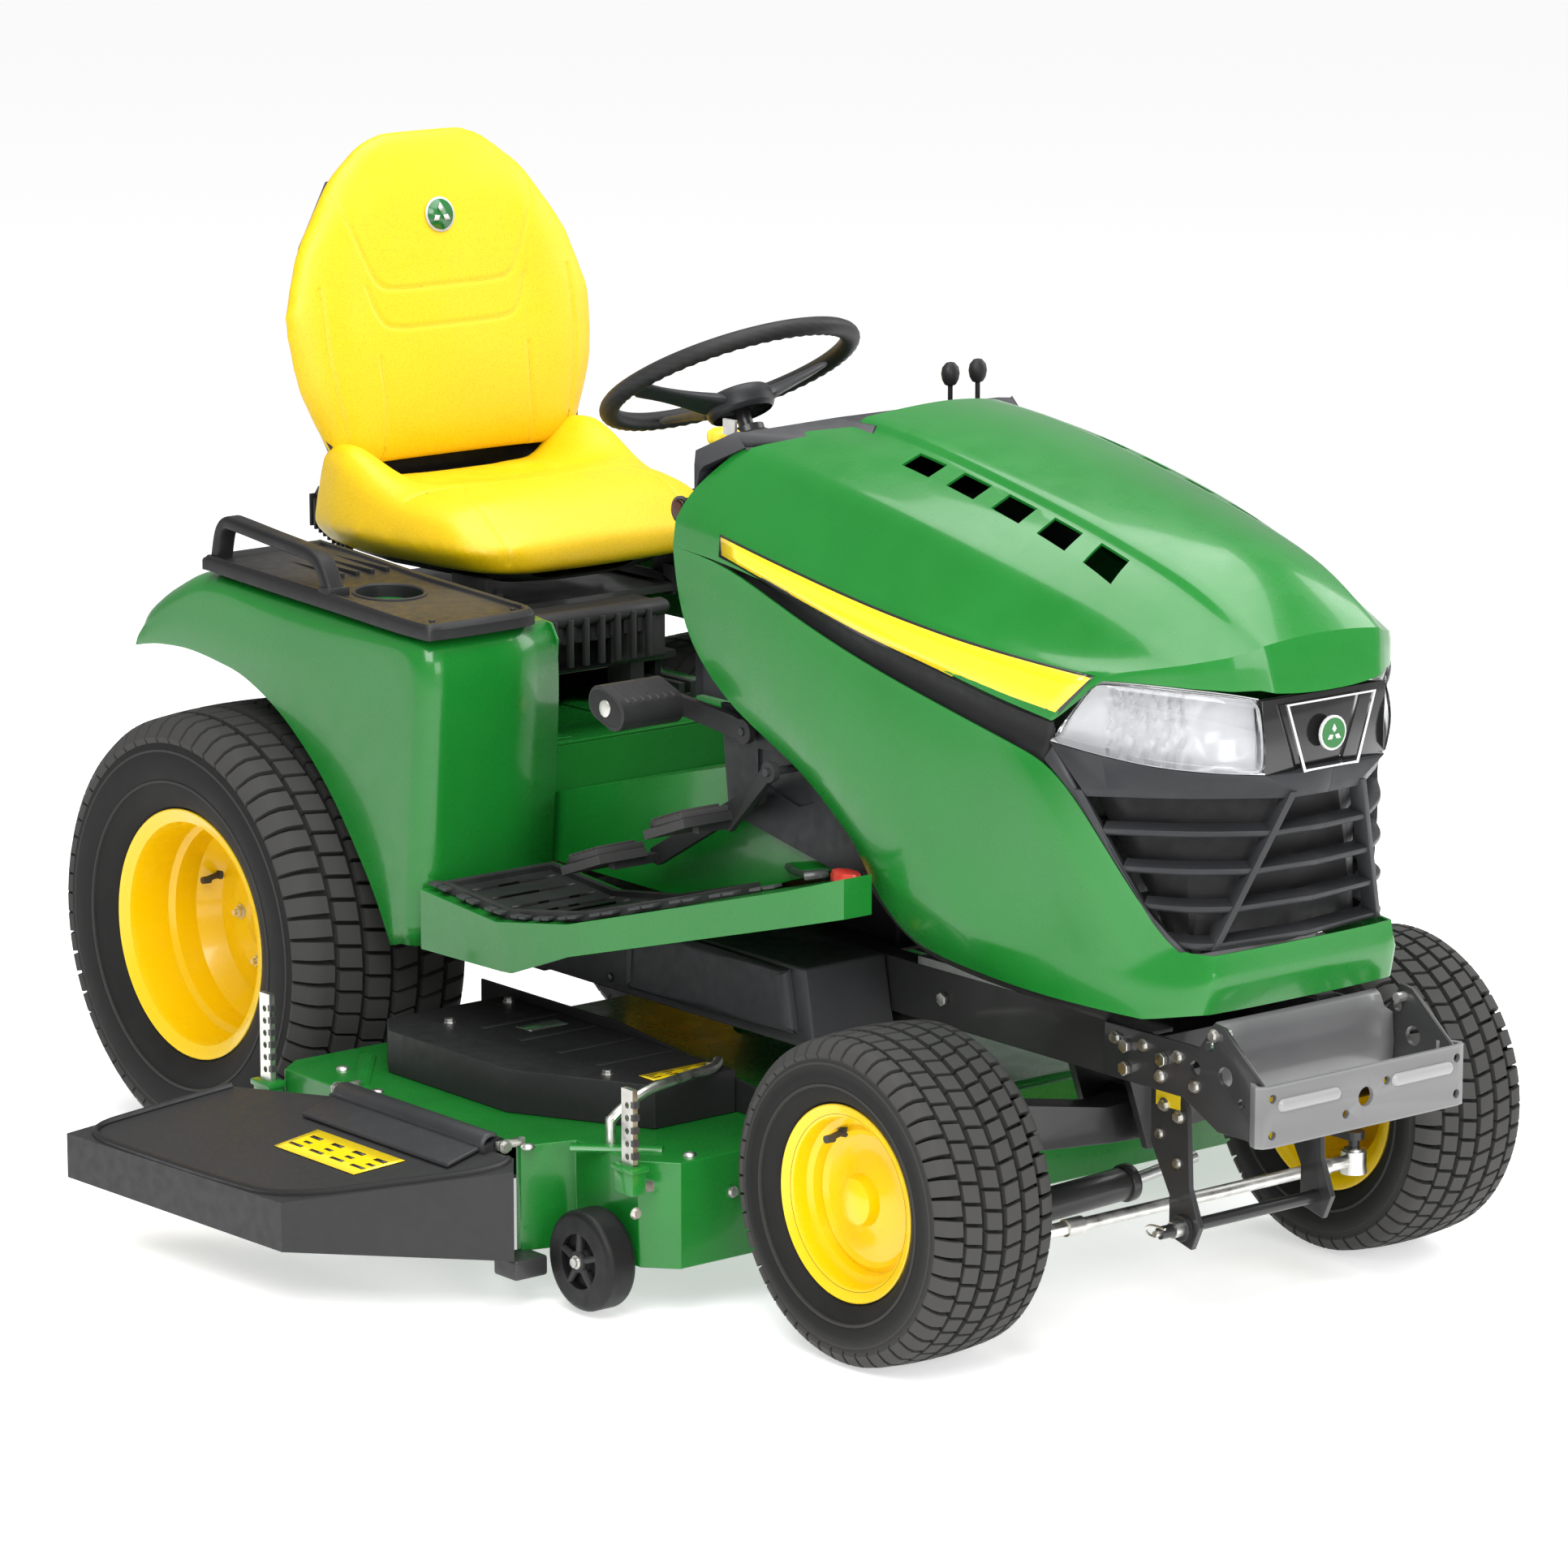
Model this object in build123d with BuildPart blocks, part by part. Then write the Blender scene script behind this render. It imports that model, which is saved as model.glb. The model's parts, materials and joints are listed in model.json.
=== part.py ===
# Riding lawn mower: garden tractor with a 54 inch side-discharge deck, in millimetres.
# While modelling, x = 0 is the tractor's centre plane, y = 0 the rear axle and z = 0 the ground.
# The front is towards -Y and the operator's right towards -X. save() moves every piece by one
# constant step, so that the written model stands centred on its origin.
import os
from math import cos, radians, sin

from build123d import *

os.makedirs("parts", exist_ok=True)

# wheels
wheelbase = 1288
rear_radius, rear_width, rear_track = 296, 278, 403
front_radius, front_width, front_track = 202, 182, 389
rear_bead, rear_flange = 152, 168
front_bead, front_flange = 102, 120
axle_radius, spindle_radius = 15, 12.5
kingpin_x, kingpin_radius = 262, 12
running_gap = 0.05  # radial clearance of every shaft in its hole
tyre_gap = 0.3  # bead to rim

# chassis
rail_outer, rail_wall, rail_bottom, rail_top = 150, 6, 330, 400
rail_front, rail_rear = -1480, 150
pivot_z = 235  # front axle pivot
sheet = 4  # wall of the moulded and pressed covers

# hood
hood_half, hood_top = 288, 1064
hinge_y, hinge_z, hinge_radius = -1596, 418, 6

# mower deck, centred beside the tractor's centre plane
deck_centre, deck_half = 80, 696
deck_front, deck_rear = -1020, -322
deck_bottom, deck_top = 66, 200
spindle_step, spindle_lead = 448, 121  # blade spacing across, and how far the middle one leads
spindle_y, blade_length = -610, 456
chute_x, chute_z, chute_tip = -628, 196, -878
gauge_radius, gauge_width = 63, 44

# seat and controls
cushion_front, cushion_rear = -195, 105
wheel_y, wheel_z, wheel_radius, wheel_tilt = -493, 1052, 163, 28.5
tilt_y, tilt_z = -640, 800  # column tilt pivot
tilt_dir = (0, sin(radians(wheel_tilt)), cos(radians(wheel_tilt)))
tilt_plane = Plane(origin=(0, wheel_y, wheel_z), x_dir=(1, 0, 0), z_dir=tilt_dir)

# one constant step puts the box's bottom centre on the origin
post_reach, hitch_front = 716, -1690
step_x = -(chute_tip + deck_centre + post_reach) / 2
step_y = -(hitch_front + rear_radius) / 2


def save(built, name):
    placed = built.part.moved(Location((step_x, step_y, 0)))
    placed.label = name
    export_step(placed, f"parts/{name}.step")


def block(x, y, z, mode=Mode.ADD):
    # a box from three (low, high) pairs
    with Locations(((x[0] + x[1]) / 2, (y[0] + y[1]) / 2, (z[0] + z[1]) / 2)):
        Box(x[1] - x[0], y[1] - y[0], z[1] - z[0], mode=mode)


def bar_x(x, y, z, radius, mode=Mode.ADD):
    with Locations(((x[0] + x[1]) / 2, y, z)):
        Cylinder(radius, x[1] - x[0], rotation=(0, 90, 0), mode=mode)


def bar_y(x, y, z, radius, mode=Mode.ADD):
    with Locations((x, (y[0] + y[1]) / 2, z)):
        Cylinder(radius, y[1] - y[0], rotation=(90, 0, 0), mode=mode)


def bar_z(x, y, z, radius, mode=Mode.ADD):
    with Locations((x, y, (z[0] + z[1]) / 2)):
        Cylinder(radius, z[1] - z[0], mode=mode)


def side_plate(points, x, mode=Mode.ADD):
    # an outline of (y, z) points, from x[0] to x[1]
    with BuildSketch(Plane.YZ.offset(x[0])) as outline:
        Polygon(*points, align=None)
    extrude(outline.sketch, amount=x[1] - x[0], mode=mode)


def plan_plate(points, z, mode=Mode.ADD):
    # an outline of (x, y) points, from z[0] to z[1]
    with BuildSketch(Plane.XY.offset(z[0])) as outline:
        Polygon(*points, align=None)
    extrude(outline.sketch, amount=z[1] - z[0], mode=mode)


def front_plate(points, y, mode=Mode.ADD):
    # an outline of (x, z) points, from y[1] back to y[0]
    with BuildSketch(Plane.XZ.offset(-y[1])) as outline:
        Polygon(*points, align=None)
    extrude(outline.sketch, amount=y[1] - y[0], mode=mode)


def both_sides(points):
    # the outline and its mirror image, as one closed outline about x = 0
    return points + [(-x, other) for x, other in reversed(points)]


def wheel_plane(y, z):
    # x across the tractor, and the local second axis as the radius about the wheel's axis
    return Plane(origin=(0, y, z), x_dir=(1, 0, 0), z_dir=(0, -1, 0))


def spin_x(points, y, z, mode=Mode.ADD):
    # turns an (x, radius) outline about the cross axis through (y, z)
    with BuildSketch(wheel_plane(y, z)) as outline:
        Polygon(*points, align=None)
    revolve(outline.sketch, axis=Axis((0, y, z), (1, 0, 0)), mode=mode)


def common(plan, z, side, x):
    # the common part of a plan outline and a side outline
    with BuildPart() as form:
        plan_plate(plan, z)
        side_plate(side, x, Mode.INTERSECT)
    return form.part


# wheels

def tyre(name, side, track, y, radius, width, bead, flange, seat):
    # a C-shaped casing, open towards the rim, with its beads between the rim's flanges
    half, wall = width / 2, 14
    low, bead_x = bead + tyre_gap, seat - 4 - tyre_gap
    belly = flange + 0.45 * (radius - flange)
    outer = [(bead_x, low), (bead_x, flange + 3), (half, belly), (half - 6, radius - 20),
             (half - 30, radius - 3), (0, radius)]
    inner = [(max(x - wall, 0), r if r <= belly else r - wall) for x, r in outer]
    with BuildPart() as casing:
        spin_x([(side * (track + x), r) for x, r in both_sides(outer[::-1])[1:]], y, radius)
        spin_x([(side * (track + x), r) for x, r in both_sides(inner[::-1])[1:]], y, radius,
               Mode.SUBTRACT)
    save(casing, name)


def rim(name, side, track, y, radius, seat, bead, flange, disc, hub, bore, cap, bolts):
    # barrel with two flanges, a disc at x = disc and a hub from hub[0] to hub[1]
    wall, disc_wall = 4, 6
    near, far = track - seat, track + seat
    profile = [(near, bead - wall), (near, flange), (near + wall, flange), (near + wall, bead),
               (far - wall, bead), (far - wall, flange), (far, flange), (far, bead - wall)]
    with BuildPart() as wheel:
        spin_x([(side * x, r) for x, r in profile], y, radius)
        bar_x(sorted((side * (disc - disc_wall), side * disc)), y, radius, bead - wall)
        bar_x(sorted((side * hub[0], side * hub[1])), y, radius, 38)
        bar_x(sorted((side * hub[0], side * cap)), y, radius, bore + running_gap, Mode.SUBTRACT)
        middle = Plane(origin=(side * disc, y, radius), z_dir=(side, 0, 0))
        with BuildSketch(middle):
            with PolarLocations(62, bolts):
                RegularPolygon(10, 6)
        extrude(amount=9)
    save(wheel, name)


def wheels():
    for side, word in ((-1, "right"), (1, "left")):
        tyre(f"rear_tyre_{word}", side, rear_track, 0, rear_radius, rear_width, rear_bead, rear_flange,
             seat=121)
        rim(f"rear_rim_{word}", side, rear_track, 0, rear_radius, 121, rear_bead, rear_flange,
            disc=392, hub=(350, 402), bore=axle_radius, cap=402, bolts=5)
        tyre(f"front_tyre_{word}", side, front_track, -wheelbase, front_radius, front_width, front_bead,
             front_flange, seat=76)
        rim(f"front_rim_{word}", side, front_track, -wheelbase, front_radius, 76, front_bead, front_flange,
            disc=424, hub=(392, 452), bore=spindle_radius, cap=442, bolts=4)


# chassis

def frame_rails():
    flange = 32
    with BuildPart() as rails:
        for side in (-1, 1):
            web = sorted((side * (rail_outer - rail_wall), side * rail_outer))
            lip = sorted((side * (rail_outer - flange), side * rail_outer))
            block(web, (rail_front, rail_rear), (rail_bottom, rail_top))
            block(lip, (rail_front, rail_rear), (rail_bottom, rail_bottom + 5))
            block(lip, (rail_front, rail_rear), (rail_top - 5, rail_top))
        inside = (-(rail_outer - rail_wall), rail_outer - rail_wall)
        for y in ((rail_front, rail_front + 45), (-1345, -1231), (-700, -655), (136, rail_rear)):
            block(inside, y, (rail_bottom, rail_bottom + 14))
        block(inside, (-975, -775), (rail_top - 5, rail_top))  # battery tray
        for y in ((-1345, -1333), (-1243, -1231)):  # ears of the front axle pivot
            front_plate([(-75, 331), (75, 331), (32, 205), (-32, 205)], y)
        bar_y(0, (-1350, -1226), pivot_z, 14)
    save(rails, "frame_rails")


def transaxle():
    with BuildPart() as drive:
        block((-108, 108), (-125, 125), (215, 392))
        fillet(drive.edges().filter_by(Axis.X), radius=30)
        bar_x((-245, 245), 0, rear_radius, 32)
        bar_x((-402, 402), 0, rear_radius, axle_radius)
        bar_z(0, -150, (262, 300), 52)  # drive pulley and fan
        block((-30, 30), (-150, -100), (266, 296))
    save(drive, "transaxle")


def engine():
    with BuildPart() as power:
        block((-rail_outer, rail_outer), (-1330, -1050), (rail_top, rail_top + 10))
        block((-105, 105), (-1320, -1060), (rail_top + 10, 620))
        for side in (-1, 1):
            block(sorted((side * 105, side * 205)), (-1290, -1150), (470, 590))
            for fin in range(5):
                z = 478 + 24 * fin
                block(sorted((side * 115, side * 216)), (-1298, -1142), (z, z + 6))
        bar_z(0, -1190, (620, 700), 140)
        bar_z(0, -1190, (700, 716), 90)
        block((-120, 120), (-1100, -1010), (640, 760))
    save(power, "engine")


def muffler():
    with BuildPart() as silencer:
        bar_x((-130, 130), -1425, 500, 52)
        fillet(silencer.edges().filter_by(GeomType.CIRCLE), radius=8)
        bar_y(-80, (-1384, -1331), 500, 16)
        bar_z(95, -1425, (430, 460), 17)
    save(silencer, "muffler")


def battery():
    with BuildPart() as cell:
        block((-98, 98), (-950, -800), (rail_top, 565))
        fillet(cell.edges().filter_by(Axis.Z), radius=6)
        for x in (-70, 70):
            bar_z(x, -825, (565, 580), 8)
    save(cell, "battery")


def side_tanks():
    # moulded dark housings below the footrest, with one raised panel each
    with BuildPart() as tanks:
        for side in (-1, 1):
            outline = [(-436, 300), (-436, 402), (-990, 402), (-1010, 300)]
            side_plate(outline, sorted((side * 152, side * 282)))
            panel = [(-640, 312), (-640, 395), (-960, 395), (-975, 320)]
            side_plate(panel, sorted((side * 282, side * 290)))
    save(tanks, "side_tanks")


def rear_hitch_plate():
    with BuildPart() as plate:
        block((-110, 110), (rail_rear, rail_rear + 8), (225, 400))
        block((-60, 60), (rail_rear + 8, 245), (262, 272))
        bar_z(0, 222, (262, 272), 9.5, Mode.SUBTRACT)
        with Locations(*[(x, rail_rear + 4, 375) for x in (-80, 80)]):
            Cylinder(7, 8, rotation=(90, 0, 0), mode=Mode.SUBTRACT)
    save(plate, "rear_hitch_plate")


def front_hitch():
    # ribbed front plate, two side plates bolted outside the rails, shield and hood hinge pins,
    # as separate plates with a hairline between them
    side = [(-1679.9, 301), (-1679.9, 374), (-1608, 430), (-1590, 432), (-1566, 398), (-1400, 398),
            (-1400, 332), (-1540, 332), (-1600, 300)]
    with BuildPart() as hitch:
        block((-168, 168), (-1686, -1680), (301, 375))
        for hand in (-1, 1):
            side_plate(side, sorted((hand * 150, hand * 156)))
            bar_x(sorted((hand * 138, hand * 150)), hinge_y, hinge_z, hinge_radius)
            block(sorted((hand * 42, hand * 142)), (-1690, -1686), (344, 356))
        bar_y(0, (-1686, -1680), 338, 12, Mode.SUBTRACT)
        for x in (-150, 150):
            for z in (316, 360):
                bar_y(x, (-1690, -1680), z, 5.5, Mode.SUBTRACT)
        block((-149.9, 149.9), (-1578, -1573), (332, 398))
        block((-134, 134), (-1578, -1573), (398, 424))
    save(hitch, "front_hitch")


def hitch_bracket():
    # two black plates hanging from the front cross member, joined by a pin
    outline = [(-1479, 329.5), (-1436, 329.5), (-1436, 250), (-1470, 190), (-1470, 140), (-1510, 130),
               (-1524, 160), (-1505, 205), (-1500, 300)]
    with BuildPart() as bracket:
        for side in (-1, 1):
            side_plate(outline, sorted((side * 104, side * 112)))
        bar_x((-150, 118), -1495, 155, 8)
        bar_x((-118, -112), -1495, 155, 16)
    save(bracket, "hitch_bracket")


def fender_outline(inset):
    return [(205 - inset, 640), (205 - inset, 690), (132, 740 - inset), (48, 771 - inset),
            (-449 + inset, 750 - inset), (-436 + inset, 600), (-425 + inset, 345)]


def fender_deck():
    # two hollow fenders over the rear wheels and the platform between them
    inner_wall, outer_wall, arch = 246, 460, 366
    with BuildPart() as fenders:
        for side in (-1, 1):
            outline = fender_outline(0) + [(-345, 345), (-300, 640)]
            side_plate(outline, sorted((side * inner_wall, side * outer_wall)))
            hollow = fender_outline(sheet)[1:5] + [(-432, 600), (-421, 300), (300, 300), (300, 690)]
            side_plate(hollow, sorted((side * (inner_wall + sheet), side * (outer_wall - sheet))),
                       Mode.SUBTRACT)
            bar_x(sorted((side * (inner_wall + sheet), side * (outer_wall + 1))), 0, rear_radius,
                  arch, Mode.SUBTRACT)
            bar_z(side * 370, -250, (700, 800), 46, Mode.SUBTRACT)  # seat of the cup
        block((-inner_wall, inner_wall), (-343, 201), (560, 560 + sheet))
        block((-inner_wall, inner_wall), (-343, -339), (440, 560))
        block((-inner_wall, inner_wall), (197, 201), (420, 560))
        block((-inner_wall, inner_wall), (197, 201), (560, 690))
    save(fenders, "fender_deck")


def fender_consoles():
    # dark trays on the fenders, each with a cup and a grab handle
    cup_y, cup_x, cup_wall = -250, 370, 4
    with BuildPart() as consoles:
        for side in (-1, 1):
            top = [(46, 771.5), (-447, 750.6), (-452, 756), (-440, 766), (40, 788)]
            side_plate(top, sorted((side * 272, side * 456)))
            bar_z(side * cup_x, cup_y, (704, 776), 46 - 0.1)
            bar_z(side * cup_x, cup_y, (704 + cup_wall, 790), 46 - cup_wall, Mode.SUBTRACT)
            rail = [(40, 780), (40, 800), (6, 842), (-196, 824), (-226, 780), (-206, 776),
                    (-184, 806), (0, 822), (22, 798), (24, 780)]
            side_plate(rail, sorted((side * 424, side * 452)))
    save(consoles, "fender_consoles")


def tail_lenses():
    with BuildPart() as lenses:
        for side in (-1, 1):
            block(sorted((side * 300, side * 400)), (205.2, 212), (650, 684))
    save(lenses, "tail_lenses")


floor_top = [(-346, 434), (-592, 414), (-720, 432), (-1080, 532), (-1135, 550)]
floor_plan = [(232, -346), (244, -346), (244, -432), (458, -432), (458, -600), (442, -720),
              (384, -1086), (340, -1135), (296, -1135), (296, -1060), (232, -1000)]


def footrest():
    # floor pans with a deep outer skirt, and the tunnel between them
    skirt = [(-1135, 500), (-1086, 488), (-720, 390), (-620, 352), (-346, 347)]
    under = [(y, z - sheet) for y, z in floor_top] + [(-1131, 300), (-340, 300), (-340, 430)]
    tunnel = [(-346, 430), (-346, 500), (-440, 526), (-770, 612), (-990, 650), (-990, 520), (-720, 428)]
    tunnel_room = [(-340, 400), (-340, 497), (-439, 522), (-769, 608), (-1000, 646), (-1000, 400)]
    inner_plan = [(220, -340), (240, -340), (240, -436), (454, -436)]
    inner_plan += [(x - sheet if x > 300 else x - 20, y) for x, y in floor_plan[4:]]
    with BuildPart() as floor:
        for side in (-1, 1):
            reach = sorted((side * 200, side * 470))
            plan = [(side * x, y) for x, y in floor_plan]
            room = [(side * x, y) for x, y in inner_plan]
            add(common(plan, (300, 560), floor_top + skirt, reach))
            add(common(room, (290, 560), under, reach), mode=Mode.SUBTRACT)
        side_plate(tunnel, (-232, 232))
        side_plate(tunnel_room, (-228, 228), Mode.SUBTRACT)
    save(floor, "footrest")


def foot_mats():
    # rubber trays with a raised rim all round
    pan = [(262, -452), (440, -452), (440, -600), (424, -712), (392, -880), (262, -880)]
    well = [(272, -462), (430, -462), (430, -598), (415, -708), (384, -870), (272, -870)]

    def layer(low, high):
        return [(y, z + low) for y, z in floor_top] + [(y, z + high) for y, z in reversed(floor_top)]

    with BuildPart() as mats:
        for side in (-1, 1):
            reach = sorted((side * 240, side * 460))
            add(common([(side * x, y) for x, y in pan], (380, 600), layer(0.2, 13), reach))
            add(common([(side * x, y) for x, y in well], (380, 620), layer(5, 60), reach),
                mode=Mode.SUBTRACT)
    save(mats, "foot_mats")


brake_pin, forward_pin, reverse_pin = (-840, 672), (-880, 600), (-930, 640)


def column_panels():
    # dark side walls of the pedal box, inside the hood's rear edge
    outline = [(-792, 560), (-776, 697), (-1040, 697), (-1100, 560), (-1100, 540), (-1010, 520)]
    with BuildPart() as panels:
        for side in (-1, 1):
            side_plate(outline, sorted((side * 234, side * 242)))
            hook = [(-850, 610), (-850, 650), (-930, 650), (-960, 600), (-930, 590)]
            side_plate(hook, sorted((side * 238, side * 243)), Mode.SUBTRACT)
        block((-234, 234), (-1000, -994), (560, 697))
        for (y, z), reach in ((brake_pin, -262), (forward_pin, -276), (reverse_pin, -296)):
            bar_x((reach, -242), y, z, 5)
        # fork that carries the column's tilt pin
        bar_x((-52, 52), tilt_y, tilt_z, 8)
        for side in (-1, 1):
            cheek = [(tilt_y + 18, tilt_z - 18), (tilt_y + 18, tilt_z + 18), (-713, tilt_z + 40),
                     (-713, tilt_z - 60)]
            side_plate(cheek, sorted((side * 40, side * 52)))
        block((-60, 60), (-713, -705), (640, tilt_z + 40))
    save(panels, "column_panels")


dash_rear = [(-692, 700), (-692, 900), (-640, 925), (-606, 935), (-606, 950), (-700, 992), (-795, 1044),
             (-850, 1084), (-924, 1084), (-930, 1076), (-806, 1039), (-752, 986), (-738, 930),
             (-736, 700)]


def dash_cowl():
    # cowl behind the hood, instrument pod on top and the box under it
    plan = both_sides([(0, -602), (62, -602), (140, -628), (256, -742), (256, -932), (0, -932)])
    with BuildPart() as cowl:
        side_plate(dash_rear, (-256, 256))
        side_plate([(-700, 700), (-700, 960), (-750, 975), (-925, 1030), (-925, 700)], (-238, 238))
        with BuildSketch(Plane.XY.offset(690)):
            Polygon(*plan, align=None)
        extrude(amount=400, mode=Mode.INTERSECT)
        corner = [(150, 1100), (150, 1084), (226, 1040), (262, 985), (262, 1100)]
        for side in (-1, 1):
            front_plate([(side * x, z) for x, z in corner], (-1000, -500), Mode.SUBTRACT)
        side_plate([(-715, 690), (-715, 890), (-750, 955), (-915, 1005), (-915, 690)], (-232, 232),
                   Mode.SUBTRACT)
        column = Plane(origin=(0, tilt_y, tilt_z), z_dir=tilt_dir)
        with BuildSketch(column.offset(60)):
            Rectangle(72, 104)
        extrude(amount=200, mode=Mode.SUBTRACT)
        block((-62, 62), (-716, -600), (690, 930), Mode.SUBTRACT)  # recess for the column's fork
        bar_z(-150, -668, (890, 1000), 4 + running_gap, Mode.SUBTRACT)
        bar_z(-196, -738, (900, 1040), 4 + running_gap, Mode.SUBTRACT)
        for x in (150, 196):
            block((x - 5, x + 5), (-790, -720), (900, 1060), Mode.SUBTRACT)
        bar_x((-258, -200), -715, 933, 11, Mode.SUBTRACT)
    save(cowl, "dash_cowl")


def seat_box():
    # ribbed moulding under the cushion, on two feet that stand on the platform
    with BuildPart() as box:
        block((-240, 20), (-330, -255), (650, 728))
        fillet(box.edges().filter_by(Axis.X), radius=10)
        block((-170, -70), (-331, -300), (655, 690), Mode.SUBTRACT)
        for rib in range(11):
            x = -228 + 22 * rib
            block((x, x + 9), (-335, -325), (694, 722))
        for x in (-200, -30):
            block((x, x + 22), (-320, -270), (564, 650))
    save(box, "seat_box")


def seat_rails():
    with BuildPart() as rails:
        for side in (-1, 1):
            block(sorted((side * 118, side * 148)), (-235, 190), (564, 590))
            block(sorted((side * 128, side * 138)), (-236, 191), (574, 591), Mode.SUBTRACT)
    save(rails, "seat_rails")


def frame_bolts():
    # hexagon heads along the rails and on the hitch side plates
    with BuildPart() as bolts:
        for side in (-1, 1):
            for y, z, x in ((-1440, 376, 156), (-1440, 348, 156), (-1505, 372, 156), (-1100, 365, 150),
                            (60, 365, 150)):
                with BuildSketch(Plane(origin=(side * x, y, z), z_dir=(side, 0, 0))):
                    RegularPolygon(9, 6)
                extrude(amount=7)
    save(bolts, "frame_bolts")


# hood

eave = [(-1616, 812), (-1600, 905), (-1558, 944), (-1418, 982), (-1201, 1030), (-998, hood_top),
        (-925, hood_top)]
nose = [(-1571, 436), (-1584, 508), (-1616, 694), (-1618, 800)]
hood_rear = [(-800, 1032), (-745, 977), (-731, 926), (-727, 864), (-754, 776), (-851, 699),
             (-978, 658), (-1079, 575), (-1125, 502), (-1171, 466), (-1306, 447), (-1430, 430),
             (-1540, 414)]
hood_plan = [(0, -1619), (60, -1616), (104, -1604), (180, -1526), (222, -1470), (250, -1400),
             (272, -1300), (hood_half, -1080), (284, -900), (278, -700)]
hood_section = [(0, 1066), (118, 1064), (236, 1046), (264, 990), (282, 905), (hood_half, 800),
                (286, 640), (272, 530), (246, 440), (170, 405)]
shoulder = Plane(origin=(-240, -1440, 838), z_dir=(-0.740, -0.284, 0.610))


def hood_form(inset):
    # the common part of a side, a plan and a front outline, less one sloping facet on each shoulder
    top = [(y + inset, z - inset) for y, z in nose + eave]
    if inset:
        outline = top + [(-600, hood_top - inset), (-600, 300), (-1571 + inset, 300)]
    else:
        outline = top + hood_rear
    plan = [(max(x - inset, 0), y + inset) for x, y in hood_plan]
    section = [(max(x - inset, 0), z - inset) for x, z in hood_section]
    if inset:
        plan.append((278 - inset, -500))
        section.append((170 - inset, 200))
    else:
        plan.append((278, -690))
        section.append((150, 400))
    with BuildPart() as form:
        side_plate(outline, (-hood_half, hood_half))
        with BuildSketch(Plane.XY.offset(100)):
            Polygon(*both_sides(plan)[1:], align=None)
        extrude(amount=1100, mode=Mode.INTERSECT)
        with BuildSketch(Plane.XZ.offset(300)):
            Polygon(*both_sides(section)[1:], align=None)
        extrude(amount=1500, mode=Mode.INTERSECT)
        split(bisect_by=shoulder.offset(-inset), keep=Keep.BOTTOM)
        split(bisect_by=Plane(origin=(240, -1440, 838), z_dir=(0.740, -0.284, 0.610)).offset(-inset),
              keep=Keep.BOTTOM)
    return form.part


face_opening = [(-1700, 508), (-1500, 508), (-1446, 673), (-1404, 740), (-1404, 752), (-1462, 834),
                (-1700, 812)]


def hood_shell():
    outer, inner = hood_form(0), hood_form(sheet)
    with BuildPart() as shell:
        add(outer)
        add(inner, mode=Mode.SUBTRACT)
        side_plate(face_opening, (-300, 300), Mode.SUBTRACT)
        for side in (-1, 1):
            ear = [(-1608, 408), (-1608, 426), (-1579, 452), (-1560, 452), (-1560, 430), (-1588, 408)]
            side_plate(ear, sorted((side * 139, side * 147)))
            bar_x(sorted((side * 130, side * 148)), hinge_y, hinge_z, hinge_radius + running_gap,
                  Mode.SUBTRACT)
        for slot in range(5):
            y = -1060 - 76 * slot
            for x in (-152, 152):
                block((x - 22, x + 22), (y - 22, y + 22), (930, 1080), Mode.SUBTRACT)
    save(shell, "hood_shell")


def face_part(gap, depth, low, high, inside=0, outside=0, cuts=()):
    # a piece of the hood's face, gap below the outer form and depth thick, between two heights
    skin, room = hood_form(gap), hood_form(gap + depth)
    with BuildPart() as piece:
        add(skin)
        add(room, mode=Mode.SUBTRACT)
        with BuildSketch(Plane.YZ.offset(-300)):
            Polygon(*face_opening, align=None)
            offset(amount=-1, kind=Kind.INTERSECTION)
        extrude(amount=600, mode=Mode.INTERSECT)
        block((-300, 300), (-1700, -1380), (low, high), Mode.INTERSECT)
        for cut in cuts:
            block(*cut, Mode.SUBTRACT)
        if inside:
            block((-inside, inside), (-1700, -1380), (low - 1, high + 1), Mode.SUBTRACT)
        if outside:
            block((-outside, outside), (-1700, -1380), (low - 1, high + 1), Mode.INTERSECT)
    return piece


def hood_face():
    louvres = [((-118, 118), (-1700, -1500), (z, z + 26)) for z in (528, 574, 620, 666)]
    for side in (-1, 1):
        louvres += [(sorted((side * 134, side * 214)), (-1700, -1380), (z, z + 26))
                    for z in (540, 586, 632, 678)]
    badge_plate = face_part(3, 8, 728, 808, outside=92)
    with BuildPart() as grille:
        add(face_part(5, 8, 510, 726, cuts=louvres).part)
        add(badge_plate.part)
    save(grille, "grille")
    save(face_part(2, 4, 728, 836, inside=96), "headlight_lenses")
    save(face_part(14, 8, 732, 826, inside=104), "headlight_reflectors")


def side_stripes():
    # thin bands on the hood sides, 0.4 mm clear of the shell
    band = [(-828, 894), (-828, 919), (-1452, 832), (-1410, 780)]
    skin, room = hood_form(-2), hood_form(-0.4)
    with BuildPart() as stripes:
        add(skin)
        add(room, mode=Mode.SUBTRACT)
        side_plate(band, (-300, 300), Mode.INTERSECT)
    save(stripes, "side_stripes")


# front axle

def front_axle():
    beam = both_sides([(0, 262), (70, 258), (232, 288), (240, 288), (240, 226), (226, 226), (70, 212),
                       (0, 208)])
    with BuildPart() as axle:
        front_plate(beam, (-wheelbase - 24, -wheelbase + 24))
        bar_y(0, (-1331, -1245), pivot_z, 30)
        for side in (-1, 1):
            bar_z(side * kingpin_x, -wheelbase, (226, 288), 24)
            bar_z(side * kingpin_x, -wheelbase, (220, 290), kingpin_radius + running_gap, Mode.SUBTRACT)
        bar_y(0, (-1340, -1240), pivot_z, 14 + running_gap, Mode.SUBTRACT)
    save(axle, "front_axle")


arm_x, arm_y, arm_z = kingpin_x, -1400, 152


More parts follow.
